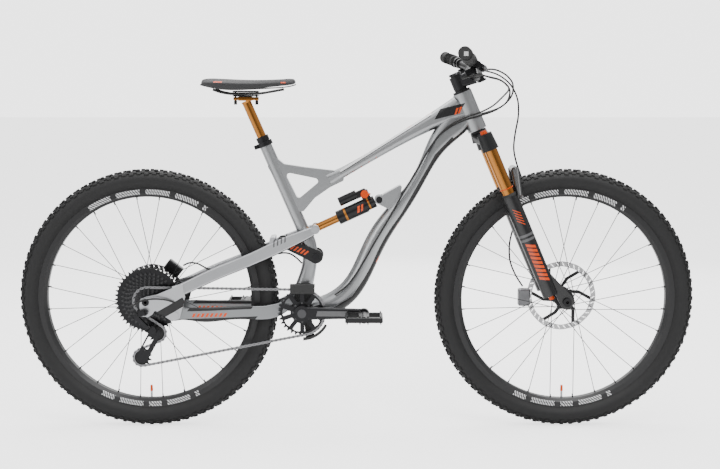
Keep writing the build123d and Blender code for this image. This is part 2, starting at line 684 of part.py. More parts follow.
def fork_lowers():
    """Two bored legs, a front arch and the dropouts, with a wiper seal on each leg."""
    x, z = FRONT
    body = None
    for side in (-1, 1):
        y = side * LEG_Y
        leg = rod(p3(steer(-WIPERS - 6, LEG_OFFSET), y), p3(steer(-LEG_END, LEG_OFFSET), y), LOWER_R)
        lug = slab(
            [
                steer(-LEG_END + 65, LEG_OFFSET - 4),
                steer(-LEG_END + 65, LEG_OFFSET + 20),
                (x + 12, z + 18),
                (x + 22, z),
                (x + 10, z - 20),
                (x - 12, z - 20),
                steer(-LEG_END - 8, LEG_OFFSET + 13),
                steer(-LEG_END + 6, LEG_OFFSET + 10),
                steer(-LEG_END + 6, LEG_OFFSET - 8),
            ],
            *sorted((side * (FRONT_HUB_W / 2 + GAP), side * 76)),
            3,
        )
        leg += lug
        leg -= rod(p3(steer(-WIPERS, LEG_OFFSET), y), p3(steer(-478, LEG_OFFSET), y), STANCHION_R + RUN)
        leg -= pin(FRONT, *sorted((side * 40, side * 90)), FRONT_AXLE_R + RUN)
        body = leg if body is None else body + leg
    low = [p3(steer(-214, LEG_OFFSET + 25), side * 66) for side in (-1, 1)]
    high = [p3(steer(-142, 52), side * 34) for side in (-1, 1)]
    for a, b in zip(low, high):
        place_a = Plane(origin=a, x_dir=p3(AHEAD), z_dir=(Vector(*b) - Vector(*a)).normalized())
        place_b = Plane(origin=b, x_dir=p3(AHEAD), z_dir=(Vector(*b) - Vector(*a)).normalized())
        body += loft([place_a * RectangleRounded(20, 34, 8), place_b * RectangleRounded(24, 20, 6)])
        body += Pos(*b) * Sphere(10.5)
    body += rod(high[0], high[1], 10.5)
    for side in (-1, 1):
        y = side * LEG_Y
        body -= rod(p3(steer(-WIPERS, LEG_OFFSET), y), p3(steer(-300, LEG_OFFSET), y), STANCHION_R + RUN)
        body -= rod(p3(steer(-120, LEG_OFFSET), y), p3(steer(-WIPERS - 6, LEG_OFFSET), y), 25)
    body -= rod(p3(steer(-509, LEG_OFFSET), -LEG_Y), p3(steer(-LEG_END + 8, LEG_OFFSET), -LEG_Y), 4 + RUN)
    seals = []
    for side in (-1, 1):
        y = side * LEG_Y
        seals.append(
            pipe(p3(steer(-WIPERS - 6, LEG_OFFSET), y), p3(steer(-WIPERS, LEG_OFFSET), y), LOWER_R - 1, STANCHION_R + RUN)
        )
    return [body] + seals


def rebound_knob():
    y = -LEG_Y
    knob = rod(p3(steer(-LEG_END - 12, LEG_OFFSET), y), p3(steer(-LEG_END - GAP, LEG_OFFSET), y), 8)
    return knob + rod(p3(steer(-LEG_END - 1, LEG_OFFSET), y), p3(steer(-LEG_END + 6, LEG_OFFSET), y), 4)


def front_axle():
    axle = pin(FRONT, -82, 84, FRONT_AXLE_R, AXLE_BORE_R)
    return axle + pin(FRONT, -85, -76 - GAP, 12, AXLE_BORE_R) + pin(FRONT, 76 + GAP, 86, 12, AXLE_BORE_R)


# ---- cockpit ----
STEM_LOW = HEAD_LENGTH + 10.0
STEM_MID = HEAD_LENGTH + 29.0
BAR_CENTRE = steer(STEM_MID, STEM_LENGTH)
BAR_ROUTE = ((0.0, 0.0), (0.0, 0.0), (-4.0, 24.0), (-58.0, 57.0))  # rearward and upward of the centre
BAR_STATIONS = (0.0, 38.0, 108.0, BAR_W / 2)


def bar_point(y):
    """The bar's centreline (x, z) at a distance out from the middle."""
    for (y0, a), (y1, b) in zip(zip(BAR_STATIONS, BAR_ROUTE), list(zip(BAR_STATIONS, BAR_ROUTE))[1:]):
        if abs(y) <= y1:
            share = (abs(y) - y0) / (y1 - y0)
            x, z = between(a, b, share)
            return (BAR_CENTRE[0] + x, BAR_CENTRE[1] + z)
    return (BAR_CENTRE[0] + BAR_ROUTE[-1][0], BAR_CENTRE[1] + BAR_ROUTE[-1][1])


def on_bar(y):
    return p3(bar_point(y), y)


def bar_run(side):
    """Unit vector along the grip part of the bar, pointing outward."""
    return (Vector(*on_bar(side * BAR_W / 2)) - Vector(*on_bar(side * 108))).normalized()


def handlebar():
    """A clamp section that tapers into two swept-back grip ends."""
    side = rod(on_bar(36), on_bar(108), BAR_CLAMP_R, BAR_R)
    side += Pos(*on_bar(108)) * Sphere(BAR_R + 0.1)
    side += rod(on_bar(108), on_bar(BAR_W / 2), BAR_R)
    return rod(on_bar(-37), on_bar(37), BAR_CLAMP_R) + side + mirrored(side)


def grips():
    """Rubber sleeves with a clamp ring at the inner end and a cap at the tip."""
    made = []
    for side in (-1, 1):
        tip = Vector(*on_bar(side * BAR_W / 2))
        run = bar_run(side)
        sleeve = pipe(tuple(tip - run * (GRIP_LENGTH - 12)), tuple(tip - run * 1), GRIP_R, BAR_R + RUN)
        sleeve += pipe(tuple(tip - run * 6), tuple(tip - run * 1), GRIP_R + 1.5, BAR_R + RUN)
        ring = pipe(tuple(tip - run * GRIP_LENGTH), tuple(tip - run * (GRIP_LENGTH - 12)), GRIP_R + 1.5, BAR_R + RUN)
        cap = rod(tuple(tip + run * 0.2), tuple(tip + run * 2), GRIP_R)
        made += [sleeve, ring, cap]
    return made


def stem():
    """Stem body, faceplate, its four bolts, spacers below and the top cap above."""
    low, high = steer(STEM_LOW), steer(STEM_LOW + 38)
    body = rod(p3(low), p3(high), 19)
    reach = [
        Plane(origin=p3(steer(STEM_MID, 6)), x_dir=(0, 1, 0), z_dir=p3(AHEAD)) * RectangleRounded(34, 34, 8),
        Plane(origin=p3(steer(STEM_MID, STEM_LENGTH - 3)), x_dir=(0, 1, 0), z_dir=p3(AHEAD)) * RectangleRounded(54, 42, 6),
    ]
    body += loft(reach)
    clamp = pin(BAR_CENTRE, -40, 40, BAR_CLAMP_R)
    body -= clamp + rod(p3(steer(STEM_LOW - 5)), p3(steer(STEM_LOW + 60)), STEERER_R)
    body -= Plane(origin=p3(steer(STEM_MID, STEM_LENGTH + 21)), x_dir=(0, 1, 0), z_dir=p3(AHEAD)).location * Box(90, 90, 44)
    plate = Plane(origin=p3(steer(STEM_MID, STEM_LENGTH + 11.5)), x_dir=(0, 1, 0), z_dir=p3(AHEAD)).location * Box(54, 46, 20)
    plate = fillet(plate.edges(), 3) - clamp
    bolts = []
    for y in (-20, 20):
        for up in (-19.5, 19.5):
            a = steer(STEM_MID + up, STEM_LENGTH + 21.6)
            bolts.append(rod(p3(a, y), p3(steer(STEM_MID + up, STEM_LENGTH + 25), 0)[:1] + (y,) + (steer(STEM_MID + up, STEM_LENGTH + 25)[1],), 3.4))
    spacers = [
        pipe(p3(steer(HEAD_LENGTH + 6)), p3(steer(HEAD_LENGTH + 10)), 18, STEERER_R),
    ]
    cap = rod(p3(steer(STEM_LOW + 42.2)), p3(steer(STEM_LOW + 48)), 18, 16)
    return [body, plate] + bolts + spacers + [cap]


LEVER_Y = 232.0  # brake clamp's distance from the middle
REMOTE_Y = 205.0
LEVER_AHEAD = (cos(radians(32)), -sin(radians(32)))  # from the bar towards the brake lever


def lever_frame(side, y):
    """Origin on the bar, unit vectors outward along it, towards the lever, and square to both."""
    origin = Vector(*on_bar(side * y))
    out = bar_run(side)
    ahead = Vector(LEVER_AHEAD[0], 0, LEVER_AHEAD[1])
    ahead = (ahead - out * ahead.dot(out)).normalized()
    return origin, out, ahead, out.cross(ahead).normalized()


def brake_mounts():
    made = []
    for side in (-1, 1):
        o, out, ahead, up = lever_frame(side, LEVER_Y)
        clamp = pipe(tuple(o - out * 6), tuple(o + out * 6), BAR_R + 5, BAR_R + RUN)
        tank = rod(tuple(o + ahead * 25 - out * 42), tuple(o + ahead * 22 + out * 26), 9, 9.5)
        post = rod(tuple(o + ahead * (BAR_R + 2)), tuple(o + ahead * 22), 6)
        post -= rod(tuple(o - out * 9), tuple(o + out * 9), BAR_R + RUN)
        ears = bar_box(tuple(o + ahead * 33 - out * 2), tuple(out), tuple(up), (22, 20, 18), 3)
        space = bar_box(tuple(o + ahead * 38 - out * 2), tuple(out), tuple(up), (40, 20, 8.4))
        pivot = o + ahead * 37 - out * 4
        body = clamp + post + tank + ears - space
        body -= rod(tuple(pivot - up * 12), tuple(pivot + up * 12), LEVER_PIN_R)
        made.append(body)
        made.append(rod(tuple(pivot - up * 9.5), tuple(pivot + up * 9.5), LEVER_PIN_R))
    return made


LEVER_PIN_R = 2.5


def brake_lever(side):
    """A blade from its pivot outward, in front of the grip, with a hooked tip."""
    o, out, ahead, up = lever_frame(side, LEVER_Y)
    pivot = o + ahead * 37 - out * 4
    route = [pivot - out * 5, pivot + out * 16 + ahead * 10, pivot + out * 62 + ahead * 12, pivot + out * 92 + ahead * 8]
    blade = None
    for a, b in zip(route, route[1:]):
        mid, run = (a + b) * 0.5, (b - a).normalized()
        place = Plane(origin=mid, x_dir=run, z_dir=up)
        piece = place.location * Box((b - a).length, 8, 7)
        blade = piece if blade is None else blade + piece
    for joint, r in ((route[0], 5), (route[1], 5), (route[2], 4.5), (route[3], 6)):
        blade += rod(tuple(joint - up * 3.5), tuple(joint + up * 3.5), r)
    blade += rod(tuple(pivot - up * 3.9), tuple(pivot + up * 3.9), 5.5)
    return blade - rod(tuple(pivot - up * 12), tuple(pivot + up * 12), LEVER_PIN_R + RUN)


def remote_frame(side):
    """Like lever_frame, but reaching down and back under the bar."""
    origin = Vector(*on_bar(side * REMOTE_Y))
    out = bar_run(side)
    down = Vector(0.35, 0, -0.94)
    down = (down - out * down.dot(out)).normalized()
    back = Vector(-1, 0, 0)
    back = (back - out * back.dot(out) - down * back.dot(down)).normalized()
    return origin, out, down, back


def remote_mounts():
    """The shifter body on the right and the dropper remote body on the left."""
    made = []
    for side, size, shift in ((-1, (42, 30, 18), 12), (1, (24, 18, 12), 5)):
        o, out, down, back = remote_frame(side)
        clamp = pipe(tuple(o - out * 5), tuple(o + out * 5), BAR_R + 4, BAR_R + RUN)
        case = bar_box(tuple(o + down * (BAR_R + 4 + size[2] / 2) + back * shift), tuple(out), tuple(down), size, 3)
        case += bar_box(tuple(o + down * (BAR_R + 3)), tuple(out), tuple(down), (10, 10, 8))
        case -= rod(tuple(o - out * 30), tuple(o + out * 30), BAR_R + 4)
        axis = o + down * (BAR_R + 4 + size[2])
        case += rod(tuple(axis - down * 2), tuple(axis + down * (12 if side < 0 else 7)), 3)
        made.append(clamp + case)
    return made


def thumb_lever(side, level, length, sweep_back):
    """A flat lever on the remote's post, reaching outward and back with a cupped pad."""
    o, out, down, back = remote_frame(side)
    case = 18 if side < 0 else 12
    centre = o + down * (BAR_R + 4 + case + level)
    run = (out + back * sweep_back).normalized()
    mid = centre + run * (length / 2)
    place = Plane(origin=mid, x_dir=run, z_dir=down)
    lever = place.location * Box(length, 9, 3)
    lever += rod(tuple(centre - down * 1.5), tuple(centre + down * 1.5), 8)
    tip = centre + run * length
    lever += rod(tuple(tip - down * 2.5), tuple(tip + down * 2.5), 9, 8)
    return lever - rod(tuple(centre - down * 4), tuple(centre + down * 4), 3 + RUN)


# ---- drive ----
def pitch_radius(teeth):
    return PITCH / 2 / sin(pi / teeth)


RING_R = pitch_radius(CHAINRING_TEETH)
COG_R = pitch_radius(COGS[CHAIN_COG])
PULLEY_R = pitch_radius(PULLEY_TEETH)
CHAIN_H = 8.0
CHAIN_W = 5.4
COG_STEP = 3.9
ROOT = CHAIN_H / 2 + 0.5  # sprocket discs stop this far inside their pitch circle
PEDAL_RIGHT = (BB[0] + CRANK_LENGTH, BB[1])
PEDAL_LEFT = (BB[0] - CRANK_LENGTH, BB[1])
GUIDE = (-566.0, 278.0)
TENSION = (-610.0, 208.0)
CAGE_PIVOT = (-578.0, 290.0)


def belt(shift):
    """The chain's closed path, moved sideways by shift, as lines and arcs."""
    wheels = ((BB, RING_R, 1), (REAR, COG_R, 1), (GUIDE, PULLEY_R, -1), (TENSION, PULLEY_R, 1))
    wheels = [(c, r - sense * shift, sense) for c, r, sense in wheels]
    runs = []
    for (a, ra, sa), (b, rb, sb) in zip(wheels, wheels[1:] + wheels[:1]):
        vx, vz = b[0] - a[0], b[1] - a[1]
        span = hypot(vx, vz)
        lean = atan2(vz, vx) - atan2(sb * rb - sa * ra, sqrt(span**2 - (sb * rb - sa * ra) ** 2))
        nx, nz = -sin(lean), cos(lean)
        runs.append(((a[0] - sa * ra * nx, a[1] - sa * ra * nz), (b[0] - sb * rb * nx, b[1] - sb * rb * nz)))
    edges = []
    for k, (centre, r, sense) in enumerate(wheels):
        (x0, z0), (x1, z1) = runs[k - 1][1], runs[k][0]
        start = atan2(z0 - centre[1], x0 - centre[0])
        turn = (sense * (atan2(z1 - centre[1], x1 - centre[0]) - start)) % (2 * pi)
        half = start + sense * turn / 2
        middle = (centre[0] + r * cos(half), 0, centre[1] + r * sin(half))
        edges += [ThreePointArc((x0, 0, z0), middle, (x1, 0, z1)), Line((x1, 0, z1), p3(runs[k][1]))]
    return make_face(Wire(edges))


def chain():
    outer = extrude(belt(-CHAIN_H / 2), amount=CHAIN_W, dir=(0, 1, 0))
    inner = extrude(belt(CHAIN_H / 2), amount=CHAIN_W, dir=(0, 1, 0))
    return Pos(0, -CHAINLINE - CHAIN_W / 2, 0) * (outer - inner)


def cassette():
    """Eleven sprockets on a freehub body that runs on the hub's spigot."""
    body = pin(REAR, -DROPOUT_Y + 3, REAR_FLANGES[0] - 4.6, 18)
    for k, teeth in enumerate(COGS):
        y = -CHAINLINE - (k - CHAIN_COG) * COG_STEP
        body += pin(REAR, y - 1, y + 1, pitch_radius(teeth) - ROOT)
    return body - pin(REAR, -DROPOUT_Y, 0, SPIGOT_R + RUN)


SPIGOT_R = 10.0


def chainring():
    ring = pin(BB, -CHAINLINE - 1.2, -CHAINLINE + 1.2, RING_R - ROOT)
    ring -= pin(BB, -60, -40, RING_BORE_R)
    for k in range(8):
        angle = radians(45 * k + 22)
        hole = (BB[0] + 40 * cos(angle), BB[1] + 40 * sin(angle))
        ring -= pin(hole, -60, -40, 9)
    return ring


RING_BORE_R = 22.0


def crank_right():
    """Right arm with the spindle and the pedal axle."""
    x, z = BB
    arm = hull_tube(
        [
            ((x - 4, -68, z), (1, 0), 16, 40, 7),
            ((x + 60, -70, z), (1, 0), 14, 34, 6),
            ((x + 140, -74, z), (1, 0), 13, 30, 6),
            ((x + CRANK_LENGTH, -75.5, z), (1, 0), 13, 28, 6),
        ]
    )
    arm += pin(BB, -76, -60, 22) + pin(PEDAL_RIGHT, -83, -69, 15.5)
    arm += pin(BB, -62, -CHAINLINE + 1.2, RING_BORE_R - 0.02) + pin(BB, -56, -44 - GAP, 19)
    spindle = pin(BB, -60, 68, SPINDLE_R)
    return [arm + spindle, pin(PEDAL_RIGHT, -178, -83, PEDAL_AXLE_R)]


def crank_left():
    x, z = BB
    arm = hull_tube(
        [
            ((x + 4, 68, z), (-1, 0), 16, 40, 7),
            ((x - 60, 70, z), (-1, 0), 14, 34, 6),
            ((x - 140, 74, z), (-1, 0), 13, 30, 6),
            ((x - CRANK_LENGTH, 75.5, z), (-1, 0), 13, 28, 6),
        ]
    )
    arm += pin(BB, 44 + GAP, 77, 22) + pin(PEDAL_LEFT, 69, 83, 15.5)
    arm -= pin(BB, 40, 68.02, SPINDLE_R + 0.01)
    return [arm, pin(PEDAL_LEFT, 83, 178, PEDAL_AXLE_R)]


PEDAL_AXLE_R = 6.0
PEDAL_IN = 90.0


def pedal(centre, side):
    """A thin platform with two windows, traction pins and a bore for its axle."""
    x, z = centre
    mid = side * (PEDAL_IN + 48)
    body = bar_box((x, mid, z), (1, 0, 0), (0, 0, 1), (104, 96, 15), 4)
    for dx in (-29, 29):
        body -= bar_box((x + dx, mid, z), (1, 0, 0), (0, 0, 1), (30, 68, 30))
    body += pin(centre, *sorted((side * (PEDAL_IN - 4), side * (PEDAL_IN + 90))), 9.5)
    for dx in (-46, -11, 11, 46):
        for dy in (-42, 42):
            y = mid + dy
            body += rod((x + dx, y, z - 11.5), (x + dx, y, z + 11.5), 1.8)
    return body - pin(centre, *sorted((side * (PEDAL_IN - 6), side * 180)), PEDAL_AXLE_R + RUN)


def chain_guide():
    """Back plate on the shell, an upper guide over the chain and a guard below the ring."""
    x, z = BB
    back = pin(BB, -43.3, -40.3, 34)
    arm = slab([(x - 24, z + 20), (x - 20, z + 82), (x + 26, z + 82), (x + 26, z + 20)], -43.3, -40.3, 5)
    roof = slab([(x - 34, z + 72), (x - 34, z + 80), (x + 36, z + 80), (x + 36, z + 72)], -62, -40.3)
    front = slab([(x - 34, z + 54), (x - 34, z + 80), (x + 36, z + 80), (x + 36, z + 54)], -62, -59, 3)
    low = around(BB, 0, [(73, -59), (73, -46), (80, -46), (80, -59)])
    wedge = slab([(x, z), (x + 4, z - 120), (x + 60, z - 120), (x + 110, z - 60)], -80, -20)
    low = low & wedge
    strut = slab([(x + 4, z - 20), (x + 10, z - 79), (x + 34, z - 72), (x + 26, z - 12)], -43.3, -40.3, 3)
    strut += slab([(x + 12, z - 79.2), (x + 12, z - 73.2), (x + 32, z - 73.5), (x + 32, z - 73.6)], -48, -40.3)
    plate = back + arm + strut
    plate += low + roof + front
    return plate - pin(BB, -60, -30, 23)


TAB_ANGLES = (-150.0, -45.0, 50.0)


def guide_tabs():
    tabs = []
    for angle in TAB_ANGLES:
        spot = (BB[0] + 28 * cos(radians(angle)), BB[1] + 28 * sin(radians(angle)))
        tabs.append(pin(spot, -40.3, -28, 5))
    return tabs


LINK_TOP = (-622.0, 336.0)
LINK_LOW = (-589.0, 297.0)
LINK_Y = (-98.0, -85.0)
LINK_SHIFT = 16.0
LINK_PIN_R = 2.0


def link_axis():
    """Unit vector along the parallelogram's pins."""
    dx, dz = LINK_LOW[0] - LINK_TOP[0], LINK_LOW[1] - LINK_TOP[1]
    span = hypot(dx, dz)
    return Vector(-dz / span, 0, dx / span)


def derailleur_mount():
    """The upper knuckle on its hanger bolt, with the two upper link pins."""
    axis = link_axis()
    body = rod(p3(HANGER, -96), p3(HANGER, -DROPOUT_Y - 8 - GAP), 9)
    body += bar_box((-608, -91.5, 341), (-0.9, 0, -0.3), (0, 1, 0), (34, 17, 17), 3)
    body -= bar_box((LINK_TOP[0], -91.5, LINK_TOP[1]), tuple(axis), (0, 1, 0), (12, 44, 50))
    pins = []
    for y in LINK_Y:
        at = Vector(*p3(LINK_TOP, y))
        ear = rod(tuple(at - axis * 10), tuple(at - axis * 6.2), 5.5) + rod(tuple(at + axis * 6.2), tuple(at + axis * 10), 5.5)
        body += ear
        pins.append(rod(tuple(at - axis * 10.5), tuple(at + axis * 10.5), LINK_PIN_R))
    low = Vector(*p3(LINK_TOP, sum(LINK_Y) / 2))
    for side in (-1, 1):
        body += bar_box(tuple(low + axis * side * 8.1), tuple(axis), (0, 1, 0), (3.8, 9, 13))
        body += rod(tuple(low + axis * side * 8.1), (-603, -91.5, 343), 2.1)
    for y in LINK_Y:
        at = Vector(*p3(LINK_TOP, y))
        body -= rod(tuple(at - axis * 12), tuple(at + axis * 12), LINK_PIN_R)
    bolt = rod(p3(HANGER, -DROPOUT_Y - 8 - GAP), p3(HANGER, -DROPOUT_Y - GAP), HANGER_R)
    return [body + bolt] + pins


def derailleur_link(y):
    """One side of the parallelogram, from an upper pin to a lower pin."""
    axis = link_axis()
    a, b = Vector(*p3(LINK_TOP, y)), Vector(*p3(LINK_LOW, y + LINK_SHIFT))
    run = (b - a).normalized()
    place = Plane(origin=(a + b) * 0.5, x_dir=run, z_dir=axis)
    link = place.location * Box((b - a).length, 5, 11)
    for at in (a, b):
        link += rod(tuple(at - axis * 5.9), tuple(at + axis * 5.9), 4)
    for at in (a, b):
        link -= rod(tuple(at - axis * 12), tuple(at + axis * 12), LINK_PIN_R + RUN)
    return link


def derailleur_knuckle():
    """The lower knuckle with its two link pins and the bore for the cage's pivot."""
    axis = link_axis()
    middle = Vector(*p3(LINK_LOW, sum(LINK_Y) / 2 + LINK_SHIFT))
    body = pin(CAGE_PIVOT, -80, -CAGE_OUT - GAP, 13)
    pins = []
    for side in (-1, 1):
        body += bar_box(tuple(middle + axis * side * 8.1), tuple(axis), (0, 1, 0), (3.8, 11, 24), 1)
        body += rod(tuple(middle + axis * side * 8.1), p3(CAGE_PIVOT, -72), 4)
    for y in LINK_Y:
        at = Vector(*p3(LINK_LOW, y + LINK_SHIFT))
        body -= rod(tuple(at - axis * 6.2), tuple(at + axis * 6.2), 6)
        body -= rod(tuple(at - axis * 12), tuple(at + axis * 12), LINK_PIN_R)
        pins.append(rod(tuple(at - axis * 10.5), tuple(at + axis * 10.5), LINK_PIN_R))
    return [body - pin(CAGE_PIVOT, -78, -50, 5 + RUN)] + pins


CAGE_OUT = 63.5
CAGE_IN = 41.5


def derailleur_cage():
    """Two plates joined at the pulley pins; the outer plate carries the pivot."""
    gx, gz = GUIDE
    tx, tz = TENSION
    outline = [(gx + 16, gz + 4), (gx - 12, gz + 24), (tx - 16, tz + 4), (tx - 4, tz - 16), (tx + 16, tz - 6)]
    cage = None
    for y0, y1 in ((-CAGE_OUT, -CAGE_OUT + 2), (-CAGE_IN - 2, -CAGE_IN)):
        plate = slab(outline, y0, y1, 8)
        cage = plate if cage is None else cage + plate
    window = slab([(gx - 8, gz - 12), (gx - 24, gz - 8), (tx + 2, tz + 30), (tx + 14, tz + 18)], -80, -30, 5)
    cage -= window
    for at in (GUIDE, TENSION):
        cage += pin(at, -CAGE_OUT, -CAGE_IN, 3)
    return cage + pin(CAGE_PIVOT, -76, -CAGE_OUT + 1, 5)


def pulley(at):
    wheel = pin(at, -CHAINLINE - 1, -CHAINLINE + 1, PULLEY_R - ROOT)
    wheel += pin(at, -CAGE_OUT + 2 + GAP, -CAGE_IN - 2 - GAP, 6)
    return wheel - pin(at, -80, -30, 3 + RUN)


# ---- hoses ----
HOSE_R = 2.5


def front_brake_hose():
    o, out, ahead, up = lever_frame(1, LEVER_Y)
    start = o + ahead * 25 - out * 42.4
    points = [
        tuple(start),
        tuple(start - out * 24 + ahead * 2),
        (372, 138, 1020),
        (412, 108, 1008),
        (446, 90, 980),
        (466, 82, 938),
        (468, 78, 890),
        (458, 76, 842),
        (453, 77, 794),
        (464, 84, 750),
        (482, 93, 706),
        (492, 98, 658),
        (480, 98, 610),
        (458, 93, 565),
        (445, 84, 516),
        (446, 70, 466),
        (463, 59, 426),
        (483, 52, 396),
    ]
    return cord(points, HOSE_R)


def cockpit_hoses():
    """Rear brake, shift and dropper lines, looped ahead of the head tube and along the down tube."""
    o, out, ahead, up = lever_frame(-1, LEVER_Y)
    brake = o + ahead * 25 - out * 42.4
    ro, rout, rdown, rback = remote_frame(-1)
    shift = ro + rdown * (BAR_R + 13) + rback * 4 - rout * 21.9
    lo, lout, ldown, lback = remote_frame(1)
    drop = lo + ldown * (BAR_R + 10) - lout * 13.1
    return [
        cord(
            [
                tuple(brake),
                tuple(brake - out * 26 + ahead * 2),
                (380, -118, 1022),
                (416, -72, 1006),
                (440, -26, 982),
                (441, 8, 946),
                (412, 28, 914),
                (366, 34, 899),
                (318, 32.5, 886),
                (270, 31, 866),
                (228, 31.5, 828),
                (196, 33, 779),
                (169, 33.6, 730),
                (141, 35.4, 681),
                (111.5, 35.8, 634),
                (84.5, 37.4, 584),
                (56, 37, 537),
                (27, 37.8, 488),
                (1, 37.2, 441),
                (-26, 38, 402),
                (-58, 37, 376),
            ],
            HOSE_R,
        ),
        cord(
            [
                tuple(shift),
                tuple(shift - rout * 26 + Vector(6, 0, 0)),
                (362, -112, 1000),
                (402, -76, 992),
                (430, -48, 966),
                (424, -34, 931),
                (388, -31, 906),
                (344, -31, 892),
                (300, -30.5, 880),
                (258, -30, 860),
                (222, -31, 828),
                (196, -32, 786),
                (170.5, -32.6, 740),
                (141, -34.8, 692),
                (114, -35, 644),
                (86.5, -35.6, 594),
                (58, -36.6, 547),
                (30, -36.2, 497),
                (2, -37, 450),
                (-26, -37, 411),
                (-62, -36, 385),
            ],
            HOSE_R,
        ),
        cord(
            [
                tuple(drop),
                tuple(drop - lout * 26 + Vector(8, 0, 0)),
                (372, 108, 1004),
                (414, 62, 994),
                (436, 12, 968),
                (410, -14, 944),
                (384, -34, 921),
                (352, -36.4, 904),
                (306, -36.2, 889),
                (262, -36, 868),
                (226, -36.5, 834),
                (200, -37.5, 792),
            ],
            HOSE_R,
        ),
    ]


def rear_hoses():
    """The loop from the seat tube to the left stay, its run to the caliper, and the shift line's tail."""
    loop = [
        (-156.4, 8, 470),
        (-173, 14, 486),
        (-190, 22, 496),
        (-208, 30, 498),
        (-226, 36, 494),
    ]
    to_caliper = [(-425, 51, 445), (-440, 49, 452), (-462, 49, 465), (-486, 52, 466), (-503, 56, 457)]
    tail = [
        (-512, -85.2, 372),
        (-534, -92, 381),
        (-566, -100, 385),
        (-604, -104, 380),
        (-630, -103, 362),
    ]
    return [cord(route, HOSE_R) for route in (loop, to_caliper, tail)]


# ---- write every node ----
def main():
    os.makedirs("parts", exist_ok=True)
    frame = front_frame()
    for tab in guide_tabs():
        frame += tab
    save("front_frame", frame)
    save("headset_and_bearing_cups", *headset_cups(), *bottom_bracket())
    save("frame_pivot_bolts", *frame_bolts())
    save("seat_collar", seat_collar())
    save("dropper_outer_tube", post_outer())
    save("dropper_post", dropper_post())
    save("saddle_clamp", *saddle_clamp())
    save("saddle_base", *saddle_base())
    save("saddle_cover", saddle_body(1))
    save("chain_guide", chain_guide())
    save("seatstay", *seatstay())
    save("chainstay", chainstay())
    save("rocker_links", *rocker())
    save("shock_body", shock_body())
    save("shock_shaft", shock_shaft())
    save("shock_lever", shock_knob())
    save("rear_axle", rear_axle())
    rear_radial = (0.62, 0.785)
    rear_spot = (REAR[0] + 98 * rear_radial[0], REAR[1] + 98 * rear_radial[1])
    feet = [((rear_spot[0] + 2, 62, rear_spot[1] - 6), (-517, 72, 412)), ((rear_spot[0] - 16, 66, rear_spot[1] - 2), (-548, 76, 403))]
    save("rear_caliper", *caliper(rear_spot, REAR_ROTOR_Y, rear_radial, []))
    wheel("rear", REAR, REAR_HUB_W, REAR_FLANGES, REAR_AXLE_R, REAR_ROTOR_Y, REAR_ROTOR_R, SPIGOT_R)
    wheel("front", FRONT, FRONT_HUB_W, FRONT_FLANGES, FRONT_AXLE_R, FRONT_ROTOR_Y, FRONT_ROTOR_R, 14.0)
    save("cassette", cassette())
    save("chainring", chainring())
    save("crank_arms", *crank_right(), *crank_left())
    save("pedal_right", pedal(PEDAL_RIGHT, -1))
    save("pedal_left", pedal(PEDAL_LEFT, 1))
    save("chain", chain())
    save("derailleur_mount", *derailleur_mount())
    save("derailleur_outer_link", derailleur_link(LINK_Y[0]))
    save("derailleur_inner_link", derailleur_link(LINK_Y[1]))
    save("derailleur_knuckle", *derailleur_knuckle())
    save("derailleur_cage", derailleur_cage())
    save("guide_pulley", pulley(GUIDE))
    save("tension_pulley", pulley(TENSION))
    save("fork_crown", *fork_crown())
    save("fork_stanchions", *stanchions())
    save("compression_knob", compression_knob())
    save("fork_lowers", *fork_lowers())
    save("rebound_knob", rebound_knob())
    save("front_axle", front_axle())
    save("front_caliper", *caliper((FRONT[0] - 108, FRONT[1] - 4), FRONT_ROTOR_Y, (-1.0, 0.0), []))
    save("stem", *stem())
    save("handlebar", handlebar())
    save("grips", *grips())
    save("brake_lever_left", brake_lever(1))
    save("brake_lever_right", brake_lever(-1))
    save("control_mounts", *brake_mounts(), *remote_mounts())
    save("shift_lever", thumb_lever(-1, 3.0, 46, 0.9))
    save("release_lever", thumb_lever(-1, 9.0, 38, -0.1))
    save("dropper_lever", thumb_lever(1, 3.0, 40, 0.7))
    save("front_brake_hose", front_brake_hose())
    save("cockpit_hoses", *cockpit_hoses())
    save("rear_hoses", *rear_hoses())
    print("nodes written:", len(os.listdir("parts")))


main()
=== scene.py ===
"""Full-suspension mountain bike: finishes, repeated small pieces and studio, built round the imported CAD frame."""
from math import atan2, cos, hypot, pi, radians, sin, sqrt

import bmesh
import bpy
from mathutils import Matrix, Vector


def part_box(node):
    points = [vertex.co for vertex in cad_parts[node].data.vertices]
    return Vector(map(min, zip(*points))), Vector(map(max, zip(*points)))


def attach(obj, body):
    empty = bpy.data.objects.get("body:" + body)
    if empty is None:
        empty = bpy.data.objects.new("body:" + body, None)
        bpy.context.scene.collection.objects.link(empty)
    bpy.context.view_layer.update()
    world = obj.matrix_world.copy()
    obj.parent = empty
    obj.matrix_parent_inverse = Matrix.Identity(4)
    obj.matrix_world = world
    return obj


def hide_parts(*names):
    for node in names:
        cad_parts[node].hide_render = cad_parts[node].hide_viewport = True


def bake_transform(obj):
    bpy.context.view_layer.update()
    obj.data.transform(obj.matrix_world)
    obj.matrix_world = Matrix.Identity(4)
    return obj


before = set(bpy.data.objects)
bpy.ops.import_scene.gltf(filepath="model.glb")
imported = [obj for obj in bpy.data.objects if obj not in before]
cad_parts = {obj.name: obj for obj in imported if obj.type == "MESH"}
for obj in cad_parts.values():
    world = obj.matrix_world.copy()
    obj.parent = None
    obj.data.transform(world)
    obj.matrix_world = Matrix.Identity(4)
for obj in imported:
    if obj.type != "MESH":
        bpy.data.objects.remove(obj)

bl_info = {
    "name": "Mountain bike looks",
    "version": (1, 0, 0),
    "blender": (4, 5, 0),
    "location": "View3D > Sidebar > Bike",
    "description": "Builds the finishes, tyres, chain, teeth, graphics and studio of a mountain bike",
    "category": "Object",
}

